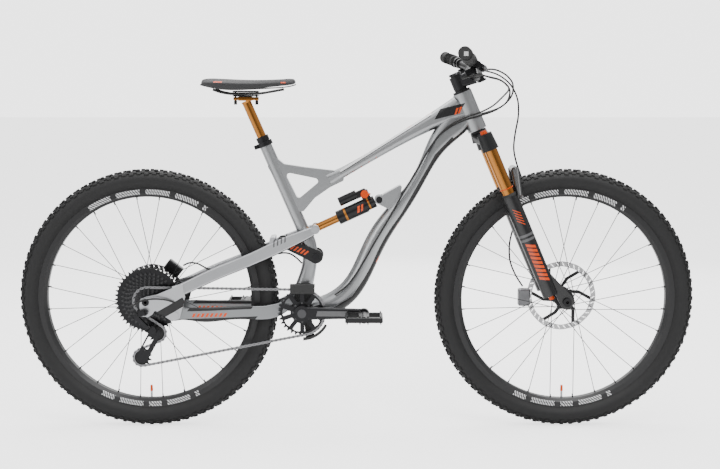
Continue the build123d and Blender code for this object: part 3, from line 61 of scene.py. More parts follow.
# Shared dimensions in metres; X forward, Y to the rider's left, Z up.
REAR, FRONT = (-0.593, 0.371), (0.593, 0.371)
BOTTOM = (-0.154, 0.338)
GUIDE, TENSION = (-0.566, 0.278), (-0.610, 0.208)
CHAINLINE = -0.0525
PITCH = 0.0127
COGS = (46, 37, 32, 28, 25, 22, 19, 17, 15, 13, 11)
COG_STEP = 0.0039
LEAN = radians(23)
CROWN = (0.343, 0.851)


def swatch(r, g, b):
    return (r, g, b, 1.0)


# ---- shader and geometry node helpers ----
def put(tree, kind, props=None, **inputs):
    """Adds a node; an input given as a socket is linked, any other value is set."""
    node = tree.nodes.new(kind)
    for key, value in (props or {}).items():
        setattr(node, key, value)
    for key, value in inputs.items():
        name = key.replace("_", " ")
        socket = node.inputs[int(name[1:])] if name[0] == "i" and name[1:].isdigit() else node.inputs[name]
        if isinstance(value, bpy.types.NodeSocket):
            tree.links.new(value, socket)
        else:
            socket.default_value = value
    return node


def new_group(name, kind, ins, outs):
    """A node group with typed sockets; returns the tree, its input node and its output node."""
    tree = bpy.data.node_groups.new(name, kind)
    for label, sort, default in ins:
        made = tree.interface.new_socket(name=label, in_out="INPUT", socket_type=sort)
        if default is not None:
            made.default_value = default
    for label, sort in outs:
        tree.interface.new_socket(name=label, in_out="OUTPUT", socket_type=sort)
    return tree, tree.nodes.new("NodeGroupInput"), tree.nodes.new("NodeGroupOutput")


def calc(tree, operation, a, b=0.0):
    return put(tree, "ShaderNodeMath", {"operation": operation}, i0=a, i1=b).outputs[0]


def mark_group():
    """Mask of a slanted box: 1 inside half sizes Along and Across about Centre, tilted about Y by Tilt."""
    tree, gin, gout = new_group(
        "Box mark",
        "ShaderNodeTree",
        [
            ("Centre", "NodeSocketVector", (0, 0, 0)),
            ("Tilt", "NodeSocketFloat", 0.0),
            ("Along", "NodeSocketFloat", 0.01),
            ("Across", "NodeSocketFloat", 0.01),
            ("Skew", "NodeSocketFloat", 0.0),
        ],
        [("Mask", "NodeSocketFloat")],
    )
    place = put(tree, "ShaderNodeTexCoord").outputs["Object"]
    offset = put(tree, "ShaderNodeVectorMath", {"operation": "SUBTRACT"}, i0=place, i1=gin.outputs["Centre"]).outputs[0]
    turned = put(
        tree, "ShaderNodeVectorRotate", {"rotation_type": "Y_AXIS"}, Vector=offset, Angle=gin.outputs["Tilt"]
    ).outputs[0]
    split = put(tree, "ShaderNodeSeparateXYZ", Vector=turned)
    slid = calc(tree, "SUBTRACT", split.outputs["X"], calc(tree, "MULTIPLY", split.outputs["Z"], gin.outputs["Skew"]))
    inside = calc(
        tree,
        "MULTIPLY",
        calc(tree, "LESS_THAN", calc(tree, "ABSOLUTE", slid), gin.outputs["Along"]),
        calc(tree, "LESS_THAN", calc(tree, "ABSOLUTE", split.outputs["Z"]), gin.outputs["Across"]),
    )
    tree.links.new(inside, gout.inputs["Mask"])
    return tree


def hatch_group():
    """Slanted bars round a wheel between two angles from straight up, in two rows of radius."""
    tree, gin, gout = new_group(
        "Rim hatch",
        "ShaderNodeTree",
        [
            ("Centre", "NodeSocketVector", (0, 0, 0)),
            ("Middle", "NodeSocketFloat", 0.0),
            ("Half angle", "NodeSocketFloat", 0.5),
            ("Bars", "NodeSocketFloat", 60.0),
        ],
        [("Mask", "NodeSocketFloat")],
    )
    place = put(tree, "ShaderNodeTexCoord").outputs["Object"]
    offset = put(tree, "ShaderNodeVectorMath", {"operation": "SUBTRACT"}, i0=place, i1=gin.outputs["Centre"]).outputs[0]
    split = put(tree, "ShaderNodeSeparateXYZ", Vector=offset)
    x, z = split.outputs["X"], split.outputs["Z"]
    radius = calc(tree, "SQRT", calc(tree, "ADD", calc(tree, "MULTIPLY", x, x), calc(tree, "MULTIPLY", z, z)))
    turn = calc(tree, "ARCTAN2", x, z)
    away = calc(tree, "ABSOLUTE", calc(tree, "WRAP", calc(tree, "SUBTRACT", turn, gin.outputs["Middle"]), 0.0))
    away.node.inputs[0].links[0].from_node.inputs[1].default_value = pi
    away.node.inputs[0].links[0].from_node.inputs[2].default_value = -pi
    near = calc(tree, "LESS_THAN", away, gin.outputs["Half angle"])
    lean = calc(tree, "MULTIPLY", calc(tree, "SUBTRACT", radius, 0.305), 95.0)
    wave = calc(tree, "FRACT", calc(tree, "ADD", calc(tree, "MULTIPLY", turn, gin.outputs["Bars"]), lean))
    bar = calc(tree, "GREATER_THAN", wave, 0.45)
    blocks = calc(tree, "FRACT", calc(tree, "MULTIPLY", calc(tree, "ADD", turn, 0.07), 3.6))
    bar = calc(tree, "MULTIPLY", bar, calc(tree, "GREATER_THAN", blocks, 0.2))
    row = calc(tree, "FRACT", calc(tree, "MULTIPLY", calc(tree, "SUBTRACT", radius, 0.2985), 1 / 0.0075))
    rows = calc(tree, "GREATER_THAN", row, 0.16)
    band = calc(
        tree, "MULTIPLY", calc(tree, "GREATER_THAN", radius, 0.2985), calc(tree, "LESS_THAN", radius, 0.3135)
    )
    mask = calc(tree, "MULTIPLY", calc(tree, "MULTIPLY", near, bar), calc(tree, "MULTIPLY", rows, band))
    tree.links.new(mask, gout.inputs["Mask"])
    return tree


def wear_group():
    """Bare-metal brightness along sharp edges."""
    tree, gin, gout = new_group(
        "Edge wear", "ShaderNodeTree", [("Amount", "NodeSocketFloat", 0.3)], [("Mask", "NodeSocketFloat")]
    )
    point = put(tree, "ShaderNodeNewGeometry").outputs["Pointiness"]
    edge = put(tree, "ShaderNodeMapRange", Value=point, From_Min=0.6, From_Max=0.75).outputs[0]
    place = put(tree, "ShaderNodeTexCoord").outputs["Object"]
    noise = put(tree, "ShaderNodeTexNoise", Vector=place, Scale=160.0, Detail=4.0).outputs["Fac"]
    rough = put(tree, "ShaderNodeMapRange", Value=noise, From_Min=0.45, From_Max=0.7).outputs[0]
    tree.links.new(calc(tree, "MULTIPLY", calc(tree, "MULTIPLY", edge, rough), gin.outputs["Amount"]), gout.inputs["Mask"])
    return tree


def grain_group():
    """Height of a fine two-scale grain."""
    tree, gin, gout = new_group(
        "Grain",
        "ShaderNodeTree",
        [("Scale", "NodeSocketFloat", 400.0), ("Depth", "NodeSocketFloat", 0.3)],
        [("Normal", "NodeSocketVector"), ("Height", "NodeSocketFloat")],
    )
    place = put(tree, "ShaderNodeTexCoord").outputs["Object"]
    cells = put(tree, "ShaderNodeTexVoronoi", Vector=place, Scale=gin.outputs["Scale"]).outputs["Distance"]
    noise = put(tree, "ShaderNodeTexNoise", Vector=place, Scale=gin.outputs["Scale"], Detail=3.0).outputs["Fac"]
    height = calc(tree, "ADD", cells, noise)
    bump = put(tree, "ShaderNodeBump", Strength=gin.outputs["Depth"], Distance=0.0006, Height=height)
    tree.links.new(bump.outputs[0], gout.inputs["Normal"])
    tree.links.new(height, gout.inputs["Height"])
    return tree


def dust_group():
    """A faint lighter film on faces that look upward."""
    tree, gin, gout = new_group(
        "Dust", "ShaderNodeTree", [("Amount", "NodeSocketFloat", 0.1)], [("Mask", "NodeSocketFloat")]
    )
    up = put(tree, "ShaderNodeSeparateXYZ", Vector=put(tree, "ShaderNodeNewGeometry").outputs["Normal"]).outputs["Z"]
    facing = put(tree, "ShaderNodeMapRange", Value=up, From_Min=0.2, From_Max=1.0).outputs[0]
    place = put(tree, "ShaderNodeTexCoord").outputs["Object"]
    noise = put(tree, "ShaderNodeTexNoise", Vector=place, Scale=35.0, Detail=5.0).outputs["Fac"]
    tree.links.new(calc(tree, "MULTIPLY", calc(tree, "MULTIPLY", facing, noise), gin.outputs["Amount"]), gout.inputs["Mask"])
    return tree


def group_of(name):
    made = {"Box mark": mark_group, "Rim hatch": hatch_group, "Edge wear": wear_group, "Grain": grain_group, "Dust": dust_group}
    return bpy.data.node_groups.get(name) or made[name]()


def use(tree, name, **inputs):
    return put(tree, "ShaderNodeGroup", {"node_tree": group_of(name)}, **inputs)


def blend_to(tree, mask, under, over):
    node = put(tree, "ShaderNodeMix", {"data_type": "RGBA"}, i0=mask, i6=under, i7=over)
    return node.outputs[2]


def blend_value(tree, mask, under, over):
    return put(tree, "ShaderNodeMix", {"data_type": "FLOAT"}, i0=mask, i2=under, i3=over).outputs[0]


def finish(name, colour, rough=0.5, metal=0.0, wear=0.0, grain=None, dust=0.0, marks=(), coat=0.0, sheen=0.0, flake=0.0):
    """A Principled finish with optional painted marks, edge wear, grain and dust.

    A mark is (group name, its inputs, colour, roughness, metallic share)."""
    if bpy.data.materials.get(name):
        return bpy.data.materials[name]
    made = bpy.data.materials.new(name)
    made.use_nodes = True
    tree = made.node_tree
    tree.nodes.clear()
    out = put(tree, "ShaderNodeOutputMaterial")
    base = put(tree, "ShaderNodeRGB").outputs[0]
    base.default_value = swatch(*colour)
    roughness = calc(tree, "ADD", rough)
    metallic = calc(tree, "ADD", metal)
    if flake:
        place = put(tree, "ShaderNodeTexCoord").outputs["Object"]
        speck = put(tree, "ShaderNodeTexVoronoi", Vector=place, Scale=1500.0).outputs["Color"]
        tone = put(tree, "ShaderNodeSeparateColor", Color=speck).outputs[0]
        tone = put(tree, "ShaderNodeMapRange", Value=tone, To_Min=1 - flake, To_Max=1 + flake).outputs[0]
        base = put(tree, "ShaderNodeVectorMath", {"operation": "SCALE"}, i0=base, Scale=tone).outputs[0]
    for kind, inputs, tint, mark_rough, mark_metal in marks:
        if kind == "Facing":
            normal = put(tree, "ShaderNodeNewGeometry").outputs["Normal"]
            dot = put(tree, "ShaderNodeVectorMath", {"operation": "DOT_PRODUCT"}, i0=normal, i1=inputs["Direction"])
            mask = calc(tree, "GREATER_THAN", dot.outputs["Value"], inputs["Over"])
            if "Within" in inputs:
                mask = calc(tree, "MULTIPLY", mask, use(tree, "Box mark", **inputs["Within"]).outputs["Mask"])
        else:
            mask = use(tree, kind, **inputs).outputs["Mask"]
        base = blend_to(tree, mask, base, swatch(*tint))
        roughness = blend_value(tree, mask, roughness, mark_rough)
        metallic = blend_value(tree, mask, metallic, mark_metal)
    if wear:
        worn = use(tree, "Edge wear", Amount=wear).outputs["Mask"]
        base = blend_to(tree, worn, base, swatch(0.6, 0.6, 0.6))
        metallic = blend_value(tree, worn, metallic, 0.9)
    if dust:
        base = blend_to(tree, use(tree, "Dust", Amount=dust).outputs["Mask"], base, swatch(0.35, 0.33, 0.3))
    shader = put(tree, "ShaderNodeBsdfPrincipled", Base_Color=base, Roughness=roughness, Metallic=metallic)
    shader.inputs["Coat Weight"].default_value = coat
    shader.inputs["Coat Roughness"].default_value = 0.15
    shader.inputs["Sheen Weight"].default_value = sheen
    if grain:
        tree.links.new(use(tree, "Grain", Scale=grain[0], Depth=grain[1]).outputs["Normal"], shader.inputs["Normal"])
    tree.links.new(shader.outputs[0], out.inputs[0])
    return made


BLACK, ORANGE, WHITE, SILVER = (0.008, 0.008, 0.009), (0.80, 0.075, 0.0), (0.8, 0.8, 0.81), (0.46, 0.47, 0.48)


def box_mark(x, z, tilt, along, across, colour, skew=0.0, rough=0.35, metal=0.0):
    """A painted box; tilt in degrees is how far its long side rises towards +X."""
    inputs = {"Centre": (x, 0, z), "Tilt": radians(tilt), "Along": along, "Across": across, "Skew": skew}
    return ("Box mark", inputs, colour, rough, metal)


def facing(direction, over, colour, within=None, rough=0.35):
    inputs = {"Direction": Vector(direction).normalized(), "Over": over}
    if within:
        x, z, tilt, along, across = within
        inputs["Within"] = {"Centre": (x, 0, z), "Tilt": radians(tilt), "Along": along, "Across": across}
    return ("Facing", inputs, colour, rough, 0.0)


def satin_black():
    return finish("satin_black", (0.012, 0.012, 0.013), 0.36, 0.2, wear=0.05)


def dark_metal():
    return finish("dark_anodised", (0.03, 0.03, 0.032), 0.32, 0.8, wear=0.05)


def steel():
    return finish("steel", (0.5, 0.5, 0.51), 0.28, 1.0)


def gold():
    return finish("gold_anodised", (0.55, 0.22, 0.045), 0.2, 1.0, coat=0.2)


def rubber():
    return finish("rubber", (0.010, 0.010, 0.010), 0.7, 0.0, grain=(900.0, 0.25), dust=0.02)


def plastic():
    return finish("plastic", (0.010, 0.010, 0.010), 0.5, 0.0, grain=(1200.0, 0.12))


def orange():
    return finish("orange_anodised", ORANGE, 0.32, 0.35)


# ---- mesh helpers ----
def from_data(name, verts, faces, material, smooth=True):
    mesh = bpy.data.meshes.new(name)
    mesh.from_pydata([tuple(v) for v in verts], [], faces)
    mesh.validate()
    mesh.update()
    if smooth:
        mesh.shade_smooth()
        try:
            mesh.set_sharp_from_angle(angle=radians(35))
        except AttributeError:
            pass
    made = bpy.data.objects.new(name, mesh)
    bpy.context.scene.collection.objects.link(made)
    if material:
        mesh.materials.append(material)
    return made


def revolved(name, centre, profile, material, steps=160):
    """A closed profile of (radius, y) turned about the Y line through centre (x, z)."""
    verts, faces, count = [], [], len(profile)
    for k in range(steps):
        a = 2 * pi * k / steps
        verts += [(centre[0] + r * sin(a), y, centre[1] + r * cos(a)) for r, y in profile]
    for k in range(steps):
        m = (k + 1) % steps
        for i in range(count):
            j = (i + 1) % count
            faces.append((k * count + i, k * count + j, m * count + j, m * count + i))
    return from_data(name, verts, faces, material)


def prism(name, outline, y0, y1, material, holes=(), smooth=True):
    """An outline of (x, z) points with holes, from y0 to y1."""
    bm = bmesh.new()
    loops = []
    for ring in [outline, *holes]:
        verts = [bm.verts.new((x, y0, z)) for x, z in ring]
        loops += [bm.edges.new((a, b)) for a, b in zip(verts, verts[1:] + verts[:1])]
    bmesh.ops.triangle_fill(bm, use_beauty=True, use_dissolve=False, edges=loops)
    grown = bmesh.ops.extrude_face_region(bm, geom=bm.faces[:])
    moved = [v for v in grown["geom"] if isinstance(v, bmesh.types.BMVert)]
    bmesh.ops.translate(bm, verts=moved, vec=(0, y1 - y0, 0))
    bmesh.ops.recalc_face_normals(bm, faces=bm.faces[:])
    mesh = bpy.data.meshes.new(name)
    bm.to_mesh(mesh)
    bm.free()
    if smooth:
        mesh.shade_smooth()
        mesh.set_sharp_from_angle(angle=radians(30))
    made = bpy.data.objects.new(name, mesh)
    bpy.context.scene.collection.objects.link(made)
    mesh.materials.append(material)
    return made


def block(name, size, bevel=0.0):
    """A box at the origin, for instancing."""
    bm = bmesh.new()
    bmesh.ops.create_cube(bm, size=1.0, matrix=Matrix.Diagonal((*size, 1.0)))
    if bevel:
        bmesh.ops.bevel(bm, geom=bm.edges[:], offset=bevel, segments=1, affect="EDGES")
    mesh = bpy.data.meshes.new(name)
    bm.to_mesh(mesh)
    bm.free()
    return bpy.data.objects.new(name, mesh)


def barrel(name, radius, length, sides=16, top=None):
    """A cylinder or cone along Z from the origin upward, for instancing."""
    bm = bmesh.new()
    bmesh.ops.create_cone(
        bm,
        cap_ends=True,
        segments=sides,
        radius1=radius,
        radius2=radius if top is None else top,
        depth=length,
        matrix=Matrix.Translation((0, 0, length / 2)),
    )
    mesh = bpy.data.meshes.new(name)
    bm.to_mesh(mesh)
    bm.free()
    mesh.shade_smooth()
    mesh.set_sharp_from_angle(angle=radians(40))
    return bpy.data.objects.new(name, mesh)


def repeat(name, part, places, material):
    """Instances of part at (point, rotation) places, made by a Geometry Nodes tree and kept as one plain mesh."""
    mesh = bpy.data.meshes.new(name)
    mesh.from_pydata([tuple(p) for p, _ in places], [], [])
    turns = mesh.attributes.new("turn", "FLOAT_VECTOR", "POINT")
    turns.data.foreach_set("vector", [v for _, t in places for v in t])
    made = bpy.data.objects.new(name, mesh)
    bpy.context.scene.collection.objects.link(made)
    tree, gin, gout = new_group(
        name + "_nodes",
        "GeometryNodeTree",
        [("Geometry", "NodeSocketGeometry", None), ("Part", "NodeSocketObject", None), ("Material", "NodeSocketMaterial", None)],
        [("Geometry", "NodeSocketGeometry")],
    )
    points = put(tree, "GeometryNodeMeshToPoints", Mesh=gin.outputs["Geometry"]).outputs[0]
    turn = put(tree, "GeometryNodeInputNamedAttribute", {"data_type": "FLOAT_VECTOR"}, Name="turn").outputs[0]
    turn = put(tree, "FunctionNodeEulerToRotation", Euler=turn).outputs[0]
    shape = put(tree, "GeometryNodeObjectInfo", Object=gin.outputs["Part"]).outputs["Geometry"]
    copies = put(tree, "GeometryNodeInstanceOnPoints", Points=points, Instance=shape, Rotation=turn).outputs[0]
    real = put(tree, "GeometryNodeRealizeInstances", Geometry=copies).outputs[0]
    painted = put(tree, "GeometryNodeSetMaterial", Geometry=real, Material=gin.outputs["Material"]).outputs[0]
    tree.links.new(painted, gout.inputs["Geometry"])
    modifier = made.modifiers.new("Repeat", "NODES")
    modifier.node_group = tree
    sockets = {s.name: s.identifier for s in tree.interface.items_tree if s.in_out == "INPUT"}
    modifier[sockets["Part"]] = part
    modifier[sockets["Material"]] = material
    bpy.context.view_layer.update()
    graph = bpy.context.evaluated_depsgraph_get()
    plain = bpy.data.meshes.new_from_object(made.evaluated_get(graph))
    made.modifiers.clear()
    made.data = plain
    if not plain.materials:
        plain.materials.append(material)
    return made


def wheel_turn(a, tip=0.0):
    """Rotation whose local Z points outward at angle a from straight up about +Y, tipped sideways about the rim."""
    return tuple((Matrix.Rotation(a, 3, "Y") @ Matrix.Rotation(tip, 3, "X")).to_euler())


def paint(node, material, bevel=0.0):
    """Gives a CAD node its finish; bevel is not used."""
    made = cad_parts[node]
    made.data.materials.clear()
    made.data.materials.append(material)
    return made


# ---- pieces ----
def build_tyre(which, centre):
    body = f"{which}_wheel"
    half, high, mid = 0.0285, 0.0262, 0.3405
    profile = []
    for k in range(25):
        a = radians(-128 + 256 * k / 24)
        y = half * sin(a)
        r = mid + high * cos(a)
        profile.append((r, y))
    profile = [(0.3135, -0.0135)] + [p for p in profile if p[0] > 0.3155] + [(0.3135, 0.0135)]
    material = finish("tyre_rubber", (0.010, 0.010, 0.0105), 0.62, 0.0, grain=(700.0, 0.3), dust=0.03)
    carcass = revolved(f"{which}_tyre_carcass", centre, profile, material, 200)
    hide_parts(f"{which}_tyre")
    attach(carcass, body)
    count = 104
    rows = (
        ("shoulder", block("shoulder_knob", (0.0125, 0.0085, 0.009), 0.0012), 0.0245, 50, 0.0075, 0.0),
        ("side", block("side_knob", (0.0085, 0.0075, 0.007), 0.001), 0.0212, 37, 0.0, 0.5),
        ("crown", block("crown_knob", (0.011, 0.0095, 0.0095), 0.0012), 0.0075, 14, 0.0, 0.0),
    )
    for label, part, across, tip, extra, phase in rows:
        places = []
        for k in range(count if label != "crown" else 88):
            total = count if label != "crown" else 88
            for side in (-1, 1):
                a = 2 * pi * (k + phase + (0.5 if side > 0 else 0.0)) / total
                lean = radians(tip)
                r = mid + (high - 0.0005) * cos(lean)
                y = side * (half - 0.001) * sin(lean)
                if label == "shoulder" and k % 2:
                    r += 0.0012
                    y -= side * 0.0022
                spot = (centre[0] + r * sin(a), y, centre[1] + r * cos(a))
                places.append((spot, wheel_turn(a, -side * lean)))
        made = repeat(f"{which}_{label}_knobs", part, places, material)
        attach(made, body)


def build_rim(which, centre):
    hatch = [
        ("Rim hatch", {"Centre": (centre[0], 0, centre[1]), "Middle": m, "Half_angle": h, "Bars": 40.0}, WHITE, 0.4, 0.0)
        for m, h in ((0.0, radians(33)), (pi, radians(27)))
    ]
    paint(f"{which}_rim", finish(f"{which}_rim_finish", (0.014, 0.014, 0.015), 0.42, 0.0, marks=hatch, coat=0.1))
    paint(f"{which}_spokes", finish("spoke", (0.05, 0.05, 0.052), 0.3, 0.9))
    nipple = barrel("nipple", 0.0021, 0.009, 10, 0.0017)
    places = []
    for k in range(28):
        a = 2 * pi * (k + 0.5) / 28
        spot = (centre[0] - 0.2925 * sin(a), 0.003 * (-1) ** k, centre[1] + 0.2925 * cos(a))
        places.append((spot, wheel_turn(-a + pi)))
    nipples = repeat(f"{which}_nipples", nipple, places, dark_metal())
    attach(nipples, f"{which}_wheel")
    stem_part, cap = barrel("valve_stem", 0.003, 0.03, 14), barrel("valve_cap", 0.0042, 0.017, 14, 0.0034)
    spot = (centre[0], 0, centre[1] - 0.293)
    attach(repeat(f"{which}_valve", stem_part, [(spot, wheel_turn(0))], steel()), f"{which}_wheel")
    top = (centre[0], 0, centre[1] - 0.272)
    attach(repeat(f"{which}_valve_cap", cap, [(top, wheel_turn(0))], orange()), f"{which}_wheel")


def build_rotor(which, centre, y, radius):
    """A waved, drilled brake band on swept arms."""
    node = f"{which}_rotor"
    outline = []
    for k in range(144):
        a = 2 * pi * k / 144
        r = radius - 0.0004 + 0.0004 * cos(12 * a)
        outline.append((centre[0] + r * sin(a), centre[1] + r * cos(a)))
    inner = []
    for k in range(96):
        a = 2 * pi * k / 96
        r = radius - 0.0150 + 0.0006 * cos(12 * a)
        inner.append((centre[0] + r * sin(a), centre[1] + r * cos(a)))
    holes = [inner]
    for k in range(36):
        a = 2 * pi * k / 36
        for r, size in ((radius - 0.0045, 0.0017), (radius - 0.0085, 0.0021), (radius - 0.0120, 0.0015)):
            b = a + (radius - r) * 7
            spot = (centre[0] + r * sin(b), centre[1] + r * cos(b))
            holes.append([(spot[0] + size * sin(c * pi / 4), spot[1] + size * cos(c * pi / 4)) for c in range(8)])
    band = prism(f"{which}_rotor_band", outline, y, y + 0.0018, finish("rotor_steel", (0.55, 0.55, 0.56), 0.26, 1.0), holes)
    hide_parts(node)
    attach(band, f"{which}_wheel")
    arms = []
    for k in range(6):
        a, b = 2 * pi * k / 6, 2 * pi * k / 6 + 0.62
        ring = []
        for angle, r in ((a - 0.2, 0.026), (a + 0.2, 0.026), ((a + b) / 2 + 0.11, 0.052), (b + 0.06, radius - 0.0135), (b - 0.06, radius - 0.0135), ((a + b) / 2 - 0.08, 0.054)):
            ring.append((centre[0] + r * sin(angle), centre[1] + r * cos(angle)))
        arm = prism(f"{which}_rotor_arm_{k + 1}", ring, y + 0.0001, y + 0.0017, satin_black())
        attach(arm, f"{which}_wheel")
    hubcap = revolved(
        f"{which}_rotor_carrier", centre, [(0.016, y - 0.0008), (0.028, y - 0.0008), (0.028, y + 0.0026), (0.016, y + 0.0026)], satin_black(), 48
    )
    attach(hubcap, f"{which}_wheel")
    bolts = [
        ((centre[0] + 0.0215 * sin(2 * pi * k / 6), y + 0.0024, centre[1] + 0.0215 * cos(2 * pi * k / 6)), (-pi / 2, 0, 0))
        for k in range(6)
    ]
    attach(repeat(f"{which}_rotor_bolts", barrel("rotor_bolt", 0.0034, 0.0022, 12), bolts, steel()), f"{which}_wheel")


def toothed(centre, teeth, root=0.0043, tip=0.0036):
    """Outline of a sprocket with rounded teeth about its pitch circle."""
    pitch_r = PITCH / 2 / sin(pi / teeth)
    ring = []
    for k in range(teeth):
        for share, lift in ((0.0, -root), (0.2, -root * 0.75), (0.36, tip * 0.35), (0.45, tip), (0.55, tip), (0.64, tip * 0.35), (0.8, -root * 0.75)):
            a = 2 * pi * (k + share) / teeth
            ring.append((centre[0] + (pitch_r + lift) * sin(a), centre[1] + (pitch_r + lift) * cos(a)))
    return ring


def circle(centre, r, count=48):
    return [(centre[0] + r * sin(2 * pi * k / count), centre[1] + r * cos(2 * pi * k / count)) for k in range(count)]


def build_sprockets():
    cog = finish("cog", (0.07, 0.07, 0.072), 0.3, 1.0)
    for k, teeth in enumerate(COGS):
        y = CHAINLINE - (k - 6) * COG_STEP
        pitch_r = PITCH / 2 / sin(pi / teeth)
        inner = max(pitch_r - 0.0062, 0.0185) if teeth > 15 else 0.0165
        made = prism(f"cog_{teeth}_teeth", toothed(REAR, teeth), y - 0.0008, y + 0.0008, cog, [circle(REAR, inner)])
        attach(made, "cassette")
    paint("cassette", dark_metal())
    windows = []
    for k in range(10):
        a = 2 * pi * (k + 0.5) / 10
        window = []
        for share, r in ((-0.20, 0.0545), (-0.10, 0.0560), (0.0, 0.0565), (0.10, 0.0560), (0.20, 0.0545), (0.13, 0.0330), (0.0, 0.0310), (-0.13, 0.0330)):
            window.append((BOTTOM[0] + r * sin(a + share), BOTTOM[1] + r * cos(a + share)))
        windows.append(window)
    ring = prism("chainring_teeth", toothed(BOTTOM, 32), CHAINLINE - 0.0012, CHAINLINE + 0.0012, dark_metal(), [circle(BOTTOM, 0.022, 48), *windows])
    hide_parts("chainring")
    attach(ring, "crank")
    for name, centre in (("guide_pulley", GUIDE), ("tension_pulley", TENSION)):
        made = prism(f"{name}_teeth", toothed(centre, 12), CHAINLINE - 0.001, CHAINLINE + 0.001, plastic(), [circle(centre, 0.0185, 32)])
        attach(made, name)


def chain_path():
    """Points every pitch along the closed chain line, as (x, z)."""
    rolls = ((BOTTOM, 32, 1), (REAR, COGS[6], 1), (GUIDE, 12, -1), (TENSION, 12, 1))
    rolls = [(c, PITCH / 2 / sin(pi / t), s) for c, t, s in rolls]
    runs = []
    for (a, ra, sa), (b, rb, sb) in zip(rolls, rolls[1:] + rolls[:1]):
        vx, vz = b[0] - a[0], b[1] - a[1]
        span = hypot(vx, vz)
        lean = atan2(vz, vx) - atan2(sb * rb - sa * ra, sqrt(span**2 - (sb * rb - sa * ra) ** 2))
        nx, nz = -sin(lean), cos(lean)
        runs.append(((a[0] - sa * ra * nx, a[1] - sa * ra * nz), (b[0] - sb * rb * nx, b[1] - sb * rb * nz)))
    line = []
    for k, (centre, r, sense) in enumerate(rolls):
        (x0, z0), (x1, z1) = runs[k - 1][1], runs[k][0]
        start = atan2(z0 - centre[1], x0 - centre[0])
        turn = (sense * (atan2(z1 - centre[1], x1 - centre[0]) - start)) % (2 * pi)
        steps = max(2, int(turn * r / 0.0008))
        line += [
            (centre[0] + r * cos(start + sense * turn * i / steps), centre[1] + r * sin(start + sense * turn * i / steps))
            for i in range(steps)
        ]
        (ax, az), (bx, bz) = runs[k]
        steps = int(hypot(bx - ax, bz - az) / 0.0008)
        line += [(ax + (bx - ax) * i / steps, az + (bz - az) * i / steps) for i in range(steps)]
    lengths = [0.0]
    for p, q in zip(line, line[1:] + line[:1]):
        lengths.append(lengths[-1] + hypot(q[0] - p[0], q[1] - p[1]))
    links = 2 * round(lengths[-1] / PITCH / 2)
    spots, i = [], 0
    for k in range(links):
        goal = lengths[-1] * k / links
        while lengths[i + 1] < goal:
            i += 1
        share = (goal - lengths[i]) / (lengths[i + 1] - lengths[i])
        p, q = line[i], line[(i + 1) % len(line)]
        spots.append((p[0] + (q[0] - p[0]) * share, p[1] + (q[1] - p[1]) * share))
    return spots


def link_part(name, y, thick, tall):
    """One pair of link plates: two rounded ends and a waist, from pin to pin along X."""
    bm = bmesh.new()
    ring = []
    for k in range(9):
        a = -pi / 2 + pi * k / 8
        ring.append((PITCH / 2 + tall * cos(a), tall * sin(a)))
    ring.append((0, tall * 0.72))
    for k in range(9):
        a = pi / 2 + pi * k / 8
        ring.append((-PITCH / 2 + tall * cos(a), tall * sin(a)))
    ring.append((0, -tall * 0.72))
    for side in (-1, 1):
        for_face = [bm.verts.new((x, side * y, z)) for x, z in ring]
        face = bm.faces.new(for_face)
        grown = bmesh.ops.extrude_face_region(bm, geom=[face])
        bmesh.ops.translate(bm, verts=[v for v in grown["geom"] if isinstance(v, bmesh.types.BMVert)], vec=(0, side * thick, 0))
    bmesh.ops.recalc_face_normals(bm, faces=bm.faces[:])
    mesh = bpy.data.meshes.new(name)
    bm.to_mesh(mesh)
    bm.free()
    return bpy.data.objects.new(name, mesh)


def build_chain():
    spots = chain_path()
    middles = []
    for p, q in zip(spots, spots[1:] + spots[:1]):
        a = atan2(q[1] - p[1], q[0] - p[0])
        middles.append((((p[0] + q[0]) / 2, CHAINLINE, (p[1] + q[1]) / 2), (0, -a, 0)))
    metal = finish("chain_steel", (0.30, 0.30, 0.31), 0.3, 1.0)
    outer = repeat("chain_outer_links", link_part("outer_link", 0.0019, 0.0008, 0.0039), middles[::2], metal)
    inner = repeat("chain_inner_links", link_part("inner_link", 0.0010, 0.0008, 0.0039), middles[1::2], metal)
    pin_part = barrel("chain_pin", 0.0016, 0.0054, 10)
    roller = barrel("chain_roller", 0.0036, 0.0022, 14)
    pins = repeat("chain_pins", pin_part, [((x, CHAINLINE - 0.0027, z), (-pi / 2, 0, 0)) for x, z in spots], metal)
    rollers = repeat("chain_rollers", roller, [((x, CHAINLINE - 0.0011, z), (-pi / 2, 0, 0)) for x, z in spots], metal)
    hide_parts("chain")
    for made in (outer, inner, pins, rollers):
        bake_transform(made)


